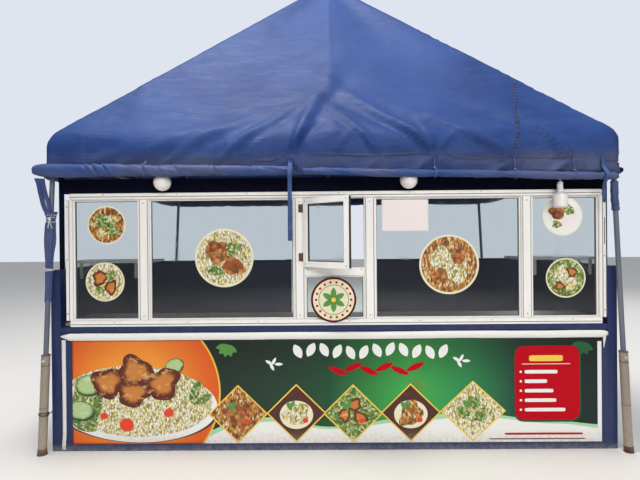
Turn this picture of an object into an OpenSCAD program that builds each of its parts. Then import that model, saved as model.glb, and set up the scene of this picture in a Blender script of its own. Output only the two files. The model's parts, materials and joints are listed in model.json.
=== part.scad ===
// Street food kiosk: a glazed serving counter under a four-sided tarpaulin canopy on splayed legs.
// Millimetres, +Z up. The serving front faces -Y and the ground is Z = 0.

/* [Kiosk body] */
// Width over the corner posts
kiosk_w = 4000; // [3400:50:4600]
// Depth over the corner posts
kiosk_d = 1400; // [1200:50:1800]
// Side of the square corner posts
post_s = 66; // [60:1:90]
// Height of the side walls and corner posts
wall_h = 1290; // [1200:10:1400]
// Thickness of the side and back walls
wall_t = 24; // [16:2:36]
// Height of the base rails
base_rail_h = 48; // [40:2:60]
// Height of the rail that caps the walls
cap_rail_h = 40; // [30:2:50]
// Clear width of the doorway in the back
doorway_w = 760; // [650:10:900]
// Side of the square posts beside the doorway
door_post_s = 50; // [40:5:60]

/* [Front panel] */
// Top of the rail that carries the windows
sill_h = 880; // [820:10:940]
// Height of that rail
sill_rail_h = 36; // [30:2:50]
// Thickness of the front panel
panel_t = 20; // [12:2:30]
// Width of the flat stiles beside the banner
stile_w = 42; // [30:2:50]
// Thickness of the stiles
stile_t = 8; // [6:1:12]
// How far the banner and the windows sit right of the centre
shift = 18; // [0:1:40]
// Thickness of the banner sheet
banner_t = 3; // [2:1:5]
// Height of the rolled cloth along the top of the banner
fold_h = 56; // [40:2:64]
// How far that roll stands out
fold_out = 22; // [14:2:30]

/* [Window band] */
// Height of the window band
band_h = 952; // [850:2:1050]
// Depth of its tracks
track_d = 84; // [70:2:96]
// Height of its tracks
track_h = 46; // [36:2:56]
// Width of the mullions
mullion_w = 76; // [56:2:90]
// Depth of the mullions
mullion_d = 62; // [46:2:66]
// Width of the end jambs
jamb_w = 48; // [36:2:56]
// Width of each end bay, from the jamb's outer face to the mullion's centre
end_bay_w = 557; // [420:1:620]
// Centre to centre width of the serving bay
serving_bay_w = 498; // [440:1:560]
// Height of the transom under the hatch, above the bottom track
transom_up = 304; // [260:2:360]
// Height of the transom
transom_h = 62; // [46:2:70]
// Thickness of the glass
glass_t = 5; // [4:1:8]

/* [Hatch] */
// Angle at which the hatch leaf stands open
hatch_open = 42; // [30:1:60]
// Width of the leaf's frame bars
leaf_bar_w = 42; // [32:2:50]
// Depth of the leaf's frame bars
leaf_bar_d = 24; // [18:2:30]
// Gap round the leaf in its opening
leaf_gap = 4; // [3:1:6]
// Radius of the hinge knuckles
hinge_r = 7; // [5:0.5:9]
// Length of the hinge knuckles
hinge_l = 60; // [40:5:80]
// Distance from the leaf's ends to its hinges
hinge_in = 40; // [20:5:80]

/* [Inside] */
// Depth of the counter
counter_d = 430; // [350:10:500]
// Thickness of the counter board
counter_t = 20; // [16:1:26]
// Depth of the shelves in the end bays
shelf_d = 280; // [200:10:320]
// Height of the shelves
shelf_z = 1350; // [1320:2:1420]
// Thickness of the shelves
shelf_t = 18; // [14:1:24]
// Height of the board over the windows
header_h = 104; // [70:2:110]
// Side of the square uprights between the posts and the eave
upright_s = 26; // [20:2:32]

/* [Canopy] */
// How far each side of the canopy cloth lies inside the ends of the body
canopy_in = 28; // [10:1:34]
// Depth over the canopy cloth at the eaves
canopy_d = 3080; // [2700:10:3400]
// How far the canopy cloth stands in front of the kiosk body
canopy_out = 80; // [76:2:110]
// Height of the apex
apex_z = 4030; // [3800:10:4200]
// Height at which the roof planes would meet the eaves without their rounded shoulder
slope_foot_z = 2210; // [2180:5:2260]
// Radius of the rounded shoulder
shoulder_r = 190; // [120:5:195]
// Lowest edge of the canopy cloth
skirt_z = 1936; // [1930:1:1950]
// Horizontal thickness of the cloth solids
cloth_t = 8; // [6:1:10]
// Radius of the eave pipes and rafters
pipe_r = 16; // [12:1:20]
// Height of the eave pipes
eave_z = 2086; // [2070:2:2100]
// Radius of the hub at the apex
hub_r = 74; // [66:2:90]
// Height of the hub's drum
hub_h = 110; // [80:5:140]

/* [Legs] */
// Radius of the upper leg pipe
leg_upper_r = 17; // [14:1:20]
// Radius of the lower leg pipe
leg_lower_r = 29; // [24:1:34]
// Height at which the upper pipe enters the lower pipe
leg_joint_z = 700; // [500:10:900]
// Length of upper pipe inside the lower pipe
leg_insert = 160; // [100:10:240]
// How far each foot stands outside its top
leg_splay = 100; // [60:2:120]

/* [Curtains and lamps] */
// Radius of the left front roll
roll_r = 47; // [40:1:50]
// Radius of the right front roll
thin_roll_r = 30; // [24:1:36]
// Radius of the side and rear rolls
side_roll_r = 34; // [26:1:40]
// How far the rolls' middles lie above the cloth's lower edge
roll_up = 38; // [30:1:44]
// How much lower the right front roll lies at its outer end
roll_fall = 54; // [0:2:60]
// How far the left front roll runs past the canopy corner
roll_past = 75; // [20:5:90]
// How far the right front roll stops short of the canopy corner
roll_short = 22; // [0:2:60]
// Place of the gap between the two front rolls, right of the centre
roll_gap_x = -230; // [-400:10:400]
// Width of that gap
roll_gap_w = 50; // [30:5:90]
// Length of the centre strap
strap_l = 490; // [300:10:600]
// Distance from the gap in the rolls to the centre strap
strap_in = 55; // [50:5:120]
// Width of the straps
strap_w = 30; // [20:2:40]
// Thickness of the straps
strap_t = 3; // [2:0.5:5]
// Height of the right strap's lower end
tie_z = 1730; // [1600:10:1800]
// Distance of the right strap from the canopy corner
tie_in = 115; // [60:5:200]
// Places of the globe lamps left and right of the centre
globe_left_x = -1185; // [-1300:1:-700]
// Place of the right globe lamp
globe_right_x = 537; // [400:1:900]
// Height of the globe lamps' centres
globe_z = 1900; // [1898:1:1904]
// Radius of the globe lamps
globe_r = 61; // [50:1:61]
// Place of the tall lamp
bulb_x = 1583; // [1450:1:1700]
// Height of the tall lamp's lower end
bulb_z = 1696; // [1690:1:1740]
// Length of the tall lamp
bulb_l = 122; // [90:2:130]
// Radius of the tall lamp
bulb_r = 50; // [40:1:54]
// Radius of the lamp holders
holder_r = 18; // [14:1:19]
// Length of the lamp holders
holder_l = 58; // [40:1:70]

/* [Hidden] */
clear = 0.3;
kiosk_hw = kiosk_w / 2;
canopy_w = kiosk_w - 2 * canopy_in;
hw = canopy_w / 2;
hd = canopy_d / 2;
leaf_w = serving_bay_w - mullion_w - 2 * leaf_gap;
hatch_reach = leaf_w * sin(hatch_open) + leaf_bar_d;
roll_out = 2 * roll_r + clear;
roll_z = skirt_z + roll_up;
// The body lies so that the hatch tip and the rear roll are equally far from the origin.
front_y = -(canopy_d - canopy_out + 2 * side_roll_r + clear - hatch_reach) / 2;
rear_y = front_y + kiosk_d;
canopy_front_y = front_y - canopy_out;
canopy_mid_y = canopy_front_y + hd;
post_mid = kiosk_hw - post_s / 2;
cap_z = wall_h - cap_rail_h;
sill_z = sill_h - sill_rail_h;
panel_y = front_y + stile_t;
stile_x = kiosk_hw - post_s - shift - clear - stile_w;
fold_z = sill_z - fold_h;
band_y = front_y + 2;
band_top = sill_h + band_h;
bars_z0 = sill_h + track_h;
bars_z1 = band_top - track_h;
bars_y = band_y + (track_d - mullion_d) / 2;
bars_back = bars_y + mullion_d;
jamb_x = kiosk_hw - post_s - shift - clear;
track_x = jamb_x - jamb_w * 0.7;
end_mullion_x = jamb_x - end_bay_w;
serving_x = serving_bay_w / 2;
MULLIONS = [-end_mullion_x, -serving_x, serving_x, end_mullion_x];
glass_y = bars_y + (mullion_d - glass_t) / 2;
transom_z = bars_z0 + transom_up;
serving_in = serving_x - mullion_w / 2;
leaf_z = transom_z + transom_h + leaf_gap;
leaf_h = bars_z1 - leaf_gap - leaf_z;
hinge_x = shift - serving_in + leaf_gap;
counter_y = band_y + track_d + clear;
header_y = front_y + 46;
corner_s = 2 * pipe_r + 6;
corner_x = hw - cloth_t - clear - corner_s / 2;
corner_y = hd - cloth_t - clear - corner_s / 2;
rise = apex_z - slope_foot_z;
slope_x = atan(rise / hw);
slope_y = atan(rise / hd);
elbow_r = pipe_r + 3;
elbow_run = shoulder_r * 0.6;
// Hip and middle rafters lie this far under the roof planes.
rafter_drop = (elbow_r + clear) / cos(slope_y) + cloth_t * rise / hd;
side_drop = (elbow_r + clear) / cos(slope_x) + cloth_t * rise / hw;
hub_z = apex_z - rafter_drop - hub_r * rise / hd - hub_h + 24;
leg_angle = atan(leg_splay / eave_z);
leg_length = eave_z / cos(leg_angle);

navy = "#20285f";
tarp = "#3f5a9c";
white = "#e8e4de";

module box(x0, x1, y0, y1, z0, z1) {
    translate([x0, y0, z0]) cube([x1 - x0, y1 - y0, z1 - z0]);
}

module both_sides() {
    children();
    mirror([1, 0, 0]) children();
}

module shifted() {
    translate([shift, 0, 0]) children();
}

module pipe(a, b, r) {
    d = b - a;
    flat = norm([d[0], d[1]]);
    translate(a)
        rotate([0, atan2(flat, d[2]), atan2(d[1], d[0])])
            cylinder(r = r, h = norm(d), $fn = 32);
}

module front_posts() {
    color(navy) both_sides()
        box(kiosk_hw - post_s, kiosk_hw, front_y, front_y + post_s, 0, wall_h);
}

module rear_posts() {
    color(navy) both_sides()
        box(kiosk_hw - post_s, kiosk_hw, rear_y - post_s, rear_y, 0, wall_h);
}

module door_posts() {
    y = rear_y - post_s / 2;
    color(navy) both_sides()
        box(doorway_w / 2, doorway_w / 2 + door_post_s, y - door_post_s / 2, y + door_post_s / 2,
            0, wall_h);
}

// Rails along the ground between the posts
module base_rails() {
    y = rear_y - post_s / 2;
    h = door_post_s / 2;
    color(navy) {
        box(-kiosk_hw + post_s, kiosk_hw - post_s, front_y, front_y + post_s, 0, base_rail_h);
        both_sides() {
            box(post_mid - h, post_mid + h, front_y + post_s, rear_y - post_s, 0, base_rail_h);
            box(doorway_w / 2 + door_post_s, kiosk_hw - post_s, y - h, y + h, 0, base_rail_h);
        }
    }
}

module wall_cap_rails() {
    y = rear_y - post_s / 2;
    h = door_post_s / 2;
    color(navy) both_sides() {
        box(post_mid - h, post_mid + h, front_y + post_s, rear_y - post_s, cap_z, wall_h);
        box(doorway_w / 2 + door_post_s, kiosk_hw - post_s, y - h, y + h, cap_z, wall_h);
    }
}

module side_wall(side) {
    color(navy) mirror([side < 0 ? 1 : 0, 0, 0])
        box(post_mid - wall_t / 2, post_mid + wall_t / 2, front_y + post_s, rear_y - post_s,
            base_rail_h, cap_z);
}

module back_wall(side) {
    y = rear_y - post_s / 2;
    color(navy) mirror([side < 0 ? 1 : 0, 0, 0])
        box(doorway_w / 2 + door_post_s, kiosk_hw - post_s, y - wall_t / 2, y + wall_t / 2,
            base_rail_h, cap_z);
}

module front_sill_rail() {
    color(navy)
        box(-kiosk_hw + post_s, kiosk_hw - post_s, front_y, front_y + post_s, sill_z, sill_h);
}

module front_panel() {
    color(navy)
        box(-kiosk_hw + post_s, kiosk_hw - post_s, panel_y, panel_y + panel_t, base_rail_h, sill_z);
}

module front_stiles() {
    color(navy) shifted() both_sides()
        box(stile_x, stile_x + stile_w, front_y, front_y + stile_t, base_rail_h, fold_z);
}

module banner() {
    color("#3c8c46") shifted()
        box(-stile_x, stile_x, panel_y - banner_t, panel_y, base_rail_h, fold_z);
}

// White cloth rolled along the banner's top edge: flat behind, bulging in front
module banner_fold() {
    color(white)
        translate([-kiosk_hw + post_s + 4, panel_y, fold_z])
            rotate([90, 0, 90])
                linear_extrude(height = kiosk_w - 2 * post_s - 8)
                    polygon([
                        for (a = [0:15:180])
                            [-(stile_t + fold_out) * sin(a), fold_h / 2 * (1 - cos(a))]
                    ]);
}

module counter_top() {
    color("#b9b4aa")
        box(-post_mid + wall_t / 2, post_mid - wall_t / 2, counter_y, counter_y + counter_d,
            sill_h, sill_h + counter_t);
}

// Rail under the counter's back edge, between the side walls
module counter_bearer() {
    color(navy)
        box(-post_mid + wall_t / 2, post_mid - wall_t / 2, counter_y + counter_d - cap_rail_h,
            counter_y + counter_d, sill_z, sill_h);
}

// End bay shelves, carried by the jambs and end mullions
module shelves() {
    color(white) shifted() both_sides()
        box(end_mullion_x - mullion_w / 2, jamb_x, bars_back, bars_back + shelf_d,
            shelf_z - shelf_t, shelf_z);
}

// Extruded track with a rounded nose, a channel on one side and two glazing beads
module track(z, up) {
    nose = track_h / 3;
    groove = glass_t + 2;
    mid = glass_y + glass_t / 2;
    color(white) shifted()
        difference() {
            union() {
                box(-track_x, track_x, band_y + nose, band_y + track_d, z, z + track_h);
                box(-track_x, track_x, band_y, band_y + nose, z + nose, z + track_h - nose);
                for (h = [nose, track_h - nose])
                    translate([-track_x, band_y + nose, z + h])
                        rotate([0, 90, 0])
                            cylinder(r = nose, h = 2 * track_x, $fn = 32);
            }
            for (s = [-1, 1])
                box(-jamb_x, jamb_x, mid + s * 18 - 3, mid + s * 18 + 3,
                    up ? z + track_h - 5 : z - 1, up ? z + track_h + 1 : z + 5);
        }
}

module window_jambs() {
    color(white) shifted() both_sides() difference() {
        box(jamb_x - jamb_w, jamb_x, bars_y, bars_back, bars_z0, bars_z1);
        box(jamb_x - jamb_w / 2 - 2, jamb_x - jamb_w / 2 + 2, bars_y - 1, bars_y + 6,
            bars_z0 - 1, bars_z1 + 1);
    }
}

// Two hollow ridges with a slit between them
module mullion_profile() {
    w = mullion_w;
    d = mullion_d;
    difference() {
        translate([-w / 2, 0]) square([w, d]);
        for (y = [-1, d - 6])
            translate([-2, y]) square([4, 7]);
        for (s = [-1, 1])
            translate([s * w / 4 - w / 4 + 5, 8]) square([w / 2 - 10, d - 16]);
    }
}

module window_mullions() {
    color(white) shifted()
        for (x = MULLIONS)
            translate([x, bars_y, bars_z0])
                linear_extrude(height = bars_z1 - bars_z0) mullion_profile();
}

module hatch_transom() {
    color(white) shifted()
        box(-serving_in, serving_in, bars_y + 6, bars_back - 6, transom_z, transom_z + transom_h);
}

module pane(x0, x1, z1) {
    box(x0, x1, glass_y, glass_y + glass_t, bars_z0, z1);
}

module window_glass() {
    color([0.75, 0.85, 0.85, 0.35]) shifted() {
        both_sides() {
            pane(end_mullion_x + mullion_w / 2, jamb_x - jamb_w, bars_z1);
            pane(serving_x + mullion_w / 2, end_mullion_x - mullion_w / 2, bars_z1);
        }
        pane(-serving_in, serving_in, transom_z);
    }
}

module at_hinge() {
    translate([hinge_x, bars_y - clear, leaf_z])
        rotate([0, 0, -hatch_open]) children();
}

module at_hatch() {
    at_hinge() translate([0, -leaf_bar_d, 0]) children();
}

module hatch_leaf() {
    color(white) at_hatch() difference() {
        cube([leaf_w, leaf_bar_d, leaf_h]);
        translate([leaf_bar_w, -1, leaf_bar_w])
            cube([leaf_w - 2 * leaf_bar_w, leaf_bar_d + 2, leaf_h - 2 * leaf_bar_w]);
    }
}

module hatch_glass() {
    color([0.75, 0.85, 0.85, 0.35]) at_hatch()
        translate([leaf_bar_w, (leaf_bar_d - glass_t) / 2, leaf_bar_w])
            cube([leaf_w - 2 * leaf_bar_w, glass_t, leaf_h - 2 * leaf_bar_w]);
}

// Butt hinge knuckles between the mullion's face and the leaf's edge
module hatch_hinges() {
    r = hinge_r;
    out = (r + (r + clear) * sin(hatch_open)) / cos(hatch_open);
    color("#6a4a3a") at_hinge()
        for (z = [hinge_in, leaf_h - hinge_in - hinge_l])
            translate([-r - clear, -out, z]) cylinder(r = r, h = hinge_l, $fn = 24);
}

// Board over the windows between two uprights, which stand on the posts under the side eave pipes
module window_header() {
    x = corner_x + pipe_r - upright_s;
    color(navy) {
        box(-x, x, header_y, header_y + wall_t, band_top, band_top + header_h);
        both_sides()
            box(x, x + upright_s, header_y, header_y + upright_s, wall_h, eave_z - pipe_r - clear);
    }
}

// Everything on a leg's sloping axis, from the ground to the eave
module on_leg(sx, sy) {
    translate([sx * (corner_x + leg_splay), canopy_mid_y + sy * corner_y, 0])
        rotate([0, -sx * leg_angle, 0]) children();
}

module every_leg() {
    for (sx = [-1, 1], sy = [-1, 1])
        on_leg(sx, sy) children();
}

module slab(z0, z1) {
    box(-canopy_w, canopy_w, -canopy_d, canopy_d, z0, z1);
}

module lower_legs() {
    joint = leg_joint_z / cos(leg_angle);
    color("#8d9094") intersection() {
        every_leg() difference() {
            translate([0, 0, -leg_lower_r]) cylinder(r = leg_lower_r, h = joint + leg_lower_r, $fn = 32);
            translate([0, 0, joint - leg_insert])
                cylinder(r = leg_upper_r + clear, h = leg_insert + 1, $fn = 32);
        }
        slab(0, apex_z);
    }
}

module upper_legs() {
    start = leg_joint_z / cos(leg_angle) - leg_insert;
    color("#5d6470") intersection() {
        every_leg()
            translate([0, 0, start]) cylinder(r = leg_upper_r, h = leg_length - start, $fn = 32);
        slab(0, eave_z - corner_s / 2);
    }
}

module corner_fittings() {
    color("#5d6470")
        for (sx = [-1, 1], sy = [-1, 1])
            translate([sx * corner_x, canopy_mid_y + sy * corner_y, eave_z])
                cube(corner_s, center = true);
}

module eave_pipes() {
    x = corner_x - corner_s / 2;
    y = corner_y - corner_s / 2;
    color("#5d6470") {
        for (s = [-1, 1]) {
            pipe([-x, canopy_mid_y + s * corner_y, eave_z], [x, canopy_mid_y + s * corner_y, eave_z], pipe_r);
            pipe([s * corner_x, canopy_mid_y - y, eave_z], [s * corner_x, canopy_mid_y + y, eave_z], pipe_r);
        }
    }
}

// Bent pipe with welded ball elbows: up from the eave, round the shoulder, then straight to the hub
module rafter(x, y, base_z, drop) {
    share = elbow_run / norm([x, y]);
    top = apex_z - drop;
    foot = top - rise * (1 - share);
    low = [x, y, max(shoulder_z, base_z + elbow_r + clear)];
    high = [x * (1 - share), y * (1 - share), foot];
    difference() {
        union() {
            pipe([x, y, base_z], low, pipe_r);
            pipe(low, high, pipe_r);
            pipe(high, [0, 0, top], pipe_r);
            for (p = [low, high])
                translate(p) sphere(r = elbow_r, $fn = 32);
        }
        translate([0, 0, hub_z - hub_h]) cylinder(r = hub_r + clear, h = 4 * hub_h, $fn = 64);
    }
}

module hip_rafters() {
    color("#5d6470") translate([0, canopy_mid_y, 0])
        for (sx = [-1, 1], sy = [-1, 1])
            rafter(sx * corner_x, sy * corner_y, eave_z + corner_s / 2, rafter_drop);
}

module middle_rafters() {
    color("#5d6470") translate([0, canopy_mid_y, 0]) {
        for (s = [-1, 1]) {
            rafter(0, s * corner_y, eave_z + pipe_r, rafter_drop);
            rafter(s * corner_x, 0, eave_z + pipe_r, side_drop);
        }
    }
}

// Drum that the rafters run into, with a cone that carries the cloth's peak
module apex_hub() {
    cone_h = hub_r * rise / hd - 4;
    color("#5d6470") translate([0, canopy_mid_y, hub_z]) {
        cylinder(r = hub_r, h = hub_h, $fn = 64);
        translate([0, 0, hub_h]) cylinder(r1 = hub_r, r2 = 6, h = cone_h, $fn = 64);
    }
}

// Section of the canopy cloth from its lower edge to its peak:
// [share of the half width taken off, height], with a rounded shoulder above the eave
shoulder_z = slope_foot_z - shoulder_r * tan((90 - slope_x) / 2);
function shoulder(a) = [shoulder_r * (1 - cos(a)) / hw, shoulder_z + shoulder_r * sin(a)];
LEVELS = concat(
    [[0, skirt_z]],
    [for (i = [0:3]) shoulder(i * (90 - slope_x) / 3)],
    [[0.5, slope_foot_z + rise / 2]]
);

// One side of the roof, mitred at both hips; half is its half length and out its distance from the centre
module roof_side(half, out) {
    n = len(LEVELS);
    function ring(s, z) = [
        [-half * (1 - s), -out * (1 - s), z],
        [half * (1 - s), -out * (1 - s), z],
        [half * (1 - s) - cloth_t, -out * (1 - s) + cloth_t, z],
        [-half * (1 - s) + cloth_t, -out * (1 - s) + cloth_t, z]
    ];
    points = concat(
        [for (l = LEVELS) each ring(l[0], l[1])],
        [[0, 0, apex_z], [0, 0, apex_z - cloth_t * rise / hd]]
    );
    strips = [
        for (i = [0:n - 2], k = [0:3])
            let (a = 4 * i + k, b = 4 * i + (k + 1) % 4)
                each (k == 3
                    ? [[b, a, b + 4], [a, a + 4, b + 4]]
                    : [[b, a, a + 4], [b, a + 4, b + 4]])
    ];
    m = 4 * (n - 1);
    top = 4 * n;
    cap = [
        [m + 1, m, top], [m + 3, m + 2, top + 1],
        [m + 2, m + 1, top], [m + 2, top, top + 1],
        [m, m + 3, top], [m + 3, top + 1, top]
    ];
    polyhedron(points = points, faces = concat([[0, 1, 2, 3]], strips, cap), convexity = 4);
}

module roof_front() {
    color(tarp) translate([0, canopy_mid_y, 0]) roof_side(hw, hd);
}

module roof_back() {
    color(tarp) translate([0, canopy_mid_y, 0]) rotate([0, 0, 180]) roof_side(hw, hd);
}

module roof_left() {
    color(tarp) translate([0, canopy_mid_y, 0]) rotate([0, 0, -90]) roof_side(hd, hw);
}

module roof_right() {
    color(tarp) translate([0, canopy_mid_y, 0]) rotate([0, 0, 90]) roof_side(hd, hw);
}

module front_rolls() {
    y = canopy_front_y - clear;
    gap0 = roll_gap_x - roll_gap_w / 2;
    gap1 = roll_gap_x + roll_gap_w / 2;
    color(tarp) {
        pipe([-hw - roll_past, y - roll_r, roll_z], [gap0, y - roll_r, roll_z - 6], roll_r);
        pipe([gap1, y - thin_roll_r, roll_z - 12],
            [hw - roll_short, y - thin_roll_r, roll_z - 12 - roll_fall], thin_roll_r);
    }
}

module side_rolls() {
    x = hw + side_roll_r + clear;
    color(tarp) both_sides()
        pipe([x, canopy_front_y + 30, roll_z - side_roll_r / 2],
            [x, canopy_mid_y + hd - 30, roll_z - side_roll_r / 2], side_roll_r);
}

module rear_roll() {
    y = canopy_mid_y + hd + side_roll_r + clear;
    color(tarp)
        pipe([-hw - roll_past / 2, y, roll_z - side_roll_r / 2],
            [hw + roll_past / 2, y, roll_z - side_roll_r / 2], side_roll_r);
}

// Curtain gathered from the left roll's end: two hanging folds tied to the front left leg, one tail below
bundle_knot = 1640;
bundle_foot = 1080;
bundle_r = 27;
fold_r = 15;
module curtain_bundle() {
    r = leg_upper_r + clear;
    y = canopy_front_y - roll_r;
    top = roll_z - roll_r - clear - 6;
    knot_x = -corner_x - leg_splay * (1 - bundle_knot / eave_z);
    color(tarp) difference() {
        union() {
            for (x = [-hw - roll_past + fold_r + 6, knot_x - bundle_r])
                pipe([x, y, top], [knot_x - 8, stem_y - 8, bundle_knot + 12], fold_r);
            translate([knot_x, stem_y, bundle_knot]) sphere(r = bundle_r + 8, $fn = 32);
            on_leg(-1, -1) translate([0, 0, bundle_foot])
                cylinder(r1 = r + 3, r2 = bundle_r, h = bundle_knot - bundle_foot, $fn = 32);
        }
        on_leg(-1, -1) cylinder(r = r, h = leg_length, $fn = 32);
    }
}

// Cloth sleeve round the top of the front right leg
sleeve_l = 200;
sleeve_t = 9;
module leg_sleeve() {
    r = leg_upper_r + clear;
    top = (skirt_z - 60) / cos(leg_angle);
    color(tarp) on_leg(1, -1) difference() {
        translate([0, 0, top - sleeve_l]) cylinder(r = r + sleeve_t, h = sleeve_l, $fn = 32);
        translate([0, 0, top - sleeve_l - 1]) cylinder(r = r, h = sleeve_l + 2, $fn = 32);
    }
}

// Webbing: one strap hangs from the left roll's inner end, one comes down over the right roll
module straps() {
    hang_x = roll_gap_x - strap_in;
    hang_y = canopy_front_y - roll_out - strap_t;
    far_x = hw - tie_in;
    y = canopy_front_y - thin_roll_r - clear;
    r = thin_roll_r;
    z = roll_z - 12 - roll_fall;
    t = strap_t;
    color(navy) {
        box(hang_x - strap_w / 2, hang_x + strap_w / 2, hang_y, hang_y + strap_t,
            roll_z - strap_l, roll_z);
        translate([far_x - strap_w / 2, 0, 0]) rotate([90, 0, 90])
            linear_extrude(height = strap_w)
                polygon([
                    [y + r, z + 140], [y + r, z + 1.6 * r], [y - r - clear, z + r],
                    [y - r - clear, tie_z], [y - r - clear - t, tie_z],
                    [y - r - clear - t, z + r + t], [y + r - t, z + 1.6 * r + t], [y + r - t, z + 140]
                ]);
    }
}

stem_y = canopy_mid_y - corner_y;
globe_y = header_y - globe_r - 3;
lamp_top = eave_z - pipe_r;
globe_top = globe_z + globe_r;

// Caps over the globes and a socket on a stem over the tall lamp, all under the front eave pipe
module lamp_holders() {
    color(white) {
        for (x = [globe_left_x, globe_right_x]) {
            translate([x, globe_y, globe_top]) cylinder(r = holder_r, h = lamp_top - globe_top, $fn = 32);
            box(x - holder_r / 2, x + holder_r / 2, stem_y, globe_y, lamp_top - holder_r, lamp_top);
        }
        translate([bulb_x, stem_y, bulb_z + bulb_l]) {
            cylinder(r = holder_r, h = holder_l, $fn = 32);
            cylinder(r = holder_r / 4, h = lamp_top - bulb_z - bulb_l, $fn = 32);
        }
    }
}

module lamp_bulbs() {
    color("white") {
        for (x = [globe_left_x, globe_right_x])
            translate([x, globe_y, globe_z]) sphere(r = globe_r, $fn = 48);
        translate([bulb_x, stem_y, bulb_z]) cylinder(r = bulb_r, h = bulb_l, $fn = 48);
    }
}

front_posts();
rear_posts();
door_posts();
base_rails();
wall_cap_rails();
side_wall(-1);  // side_wall_left
side_wall(1);  // side_wall_right
back_wall(-1);  // back_wall_left
back_wall(1);  // back_wall_right
front_sill_rail();
front_panel();
front_stiles();
banner();
banner_fold();
counter_top();
counter_bearer();
shelves();
track(sill_h, true);  // window_bottom_track
track(band_top - track_h, false);  // window_top_track
window_jambs();
window_mullions();
hatch_transom();
window_glass();
hatch_leaf();
hatch_glass();
hatch_hinges();
window_header();
lower_legs();
upper_legs();
corner_fittings();
eave_pipes();
hip_rafters();
middle_rafters();
apex_hub();
roof_front();
roof_back();
roof_left();
roof_right();
front_rolls();
side_rolls();
rear_roll();
curtain_bundle();
leg_sleeve();
straps();
lamp_holders();
lamp_bulbs();
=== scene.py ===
# Street food kiosk: paint, glass, cloth, print and fittings round the fixed frame.
# Metres, +Z up, serving front towards -Y.
import json
from math import atan, atan2, cos, exp, hypot, pi, radians, sin, sqrt, tan

import bmesh
import bpy
from mathutils import Matrix, Vector, noise


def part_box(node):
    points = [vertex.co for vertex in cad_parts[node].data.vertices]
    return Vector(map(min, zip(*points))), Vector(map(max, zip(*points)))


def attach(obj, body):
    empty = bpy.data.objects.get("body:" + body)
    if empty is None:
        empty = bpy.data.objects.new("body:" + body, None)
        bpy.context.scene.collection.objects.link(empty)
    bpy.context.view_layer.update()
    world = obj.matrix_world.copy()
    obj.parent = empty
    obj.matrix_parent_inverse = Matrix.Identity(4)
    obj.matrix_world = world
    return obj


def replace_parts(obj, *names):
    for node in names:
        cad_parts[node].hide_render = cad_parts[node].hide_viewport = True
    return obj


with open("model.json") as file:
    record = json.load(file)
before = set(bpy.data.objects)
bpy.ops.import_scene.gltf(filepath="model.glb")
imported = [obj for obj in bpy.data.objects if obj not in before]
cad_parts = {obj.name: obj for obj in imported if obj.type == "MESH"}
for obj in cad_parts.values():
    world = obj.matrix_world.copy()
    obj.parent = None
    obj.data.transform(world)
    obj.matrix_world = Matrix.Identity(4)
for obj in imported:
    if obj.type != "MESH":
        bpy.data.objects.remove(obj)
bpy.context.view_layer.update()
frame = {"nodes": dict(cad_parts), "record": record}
scene = bpy.context.scene
nodes = frame["nodes"]

# Places taken from the frame
known_boxes = {}


def box_of(node):
    if node not in known_boxes:
        known_boxes[node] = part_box(node)
    return known_boxes[node]


def low(node):
    return box_of(node)[0]


def high(node):
    return box_of(node)[1]


roof_lo, roof_hi = low("roof_front"), high("roof_back")
half_w = roof_hi.x
half_d = (roof_hi.y - roof_lo.y) / 2
mid_y = (roof_hi.y + roof_lo.y) / 2
apex_z, skirt_z = roof_hi.z, roof_lo.z
front_y = low("front_posts").y
glass_front = low("window_glass").y
bars_front = low("window_mullions").y
bars_low, bars_high = low("window_mullions").z, high("window_mullions").z
shift_x = (low("banner").x + high("banner").x) / 2
eave_z = (low("eave_pipes").z + high("eave_pipes").z) / 2
transom_lo, transom_hi = low("hatch_transom"), high("hatch_transom")
mullion_w, jamb_w = 0.076, 0.048
half_m = mullion_w / 2
end_mullion = high("window_mullions").x - shift_x - half_m
serving_x = (transom_hi.x - transom_lo.x) / 2 + half_m

# The camera, solved from the photo, in metres and degrees
VIEW_FROM = (-0.0556, front_y - 3.5342, 1.5011)
VIEW_TURN, VIEW_TILT, VIEW_ROLL = 0.487, 90 - 0.231, -0.495
SENSOR, LENS = 36, 28.125
camera_data = bpy.data.cameras.new("view_camera")
camera_data.sensor_width = SENSOR
camera_data.lens = LENS
camera_data.clip_end = 200
camera = bpy.data.objects.new("view_camera", camera_data)
scene.collection.objects.link(camera)
turned_view = Matrix.Rotation(radians(VIEW_TURN), 4, "Z") @ Matrix.Rotation(radians(VIEW_TILT), 4, "X")
view_roll = Matrix.Rotation(radians(VIEW_ROLL), 4, "Z")
camera.matrix_world = Matrix.Translation(VIEW_FROM) @ turned_view @ view_roll
scene.camera = camera


def soft_light(name, place, aim, size, power, colour=(1, 1, 1)):
    data = bpy.data.lights.new(name, "AREA")
    data.shape = "RECTANGLE"
    data.size, data.size_y = size
    data.energy = power
    data.color = colour
    light = bpy.data.objects.new(name, data)
    light.location = place
    light.rotation_euler = (Vector(aim) - Vector(place)).to_track_quat("-Z", "Y").to_euler()
    scene.collection.objects.link(light)


soft_light("key", (-1.3, -2.2, 9.2), (0, -0.6, 1.6), (2.6, 2.6), 700, (1.0, 0.98, 0.95))
soft_light("fill", (1.5, -10.2, 5.6), (0, -0.8, 0.8), (7.0, 4.0), 600, (0.98, 0.99, 1.0))
soft_light("rear", (3.5, 8.0, 6.5), (0, 0, 1.5), (5.0, 4.0), 380)


def node_group(name, inputs, outputs):
    group = bpy.data.node_groups.new(name, "ShaderNodeTree")
    for side, sockets in (("INPUT", inputs), ("OUTPUT", outputs)):
        for label, kind, value in sockets:
            socket = group.interface.new_socket(label, in_out=side, socket_type="NodeSocket" + kind)
            if value is not None:
                socket.default_value = value
    return Shader(group), group.nodes.new("NodeGroupInput").outputs, group.nodes.new("NodeGroupOutput")


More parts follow.
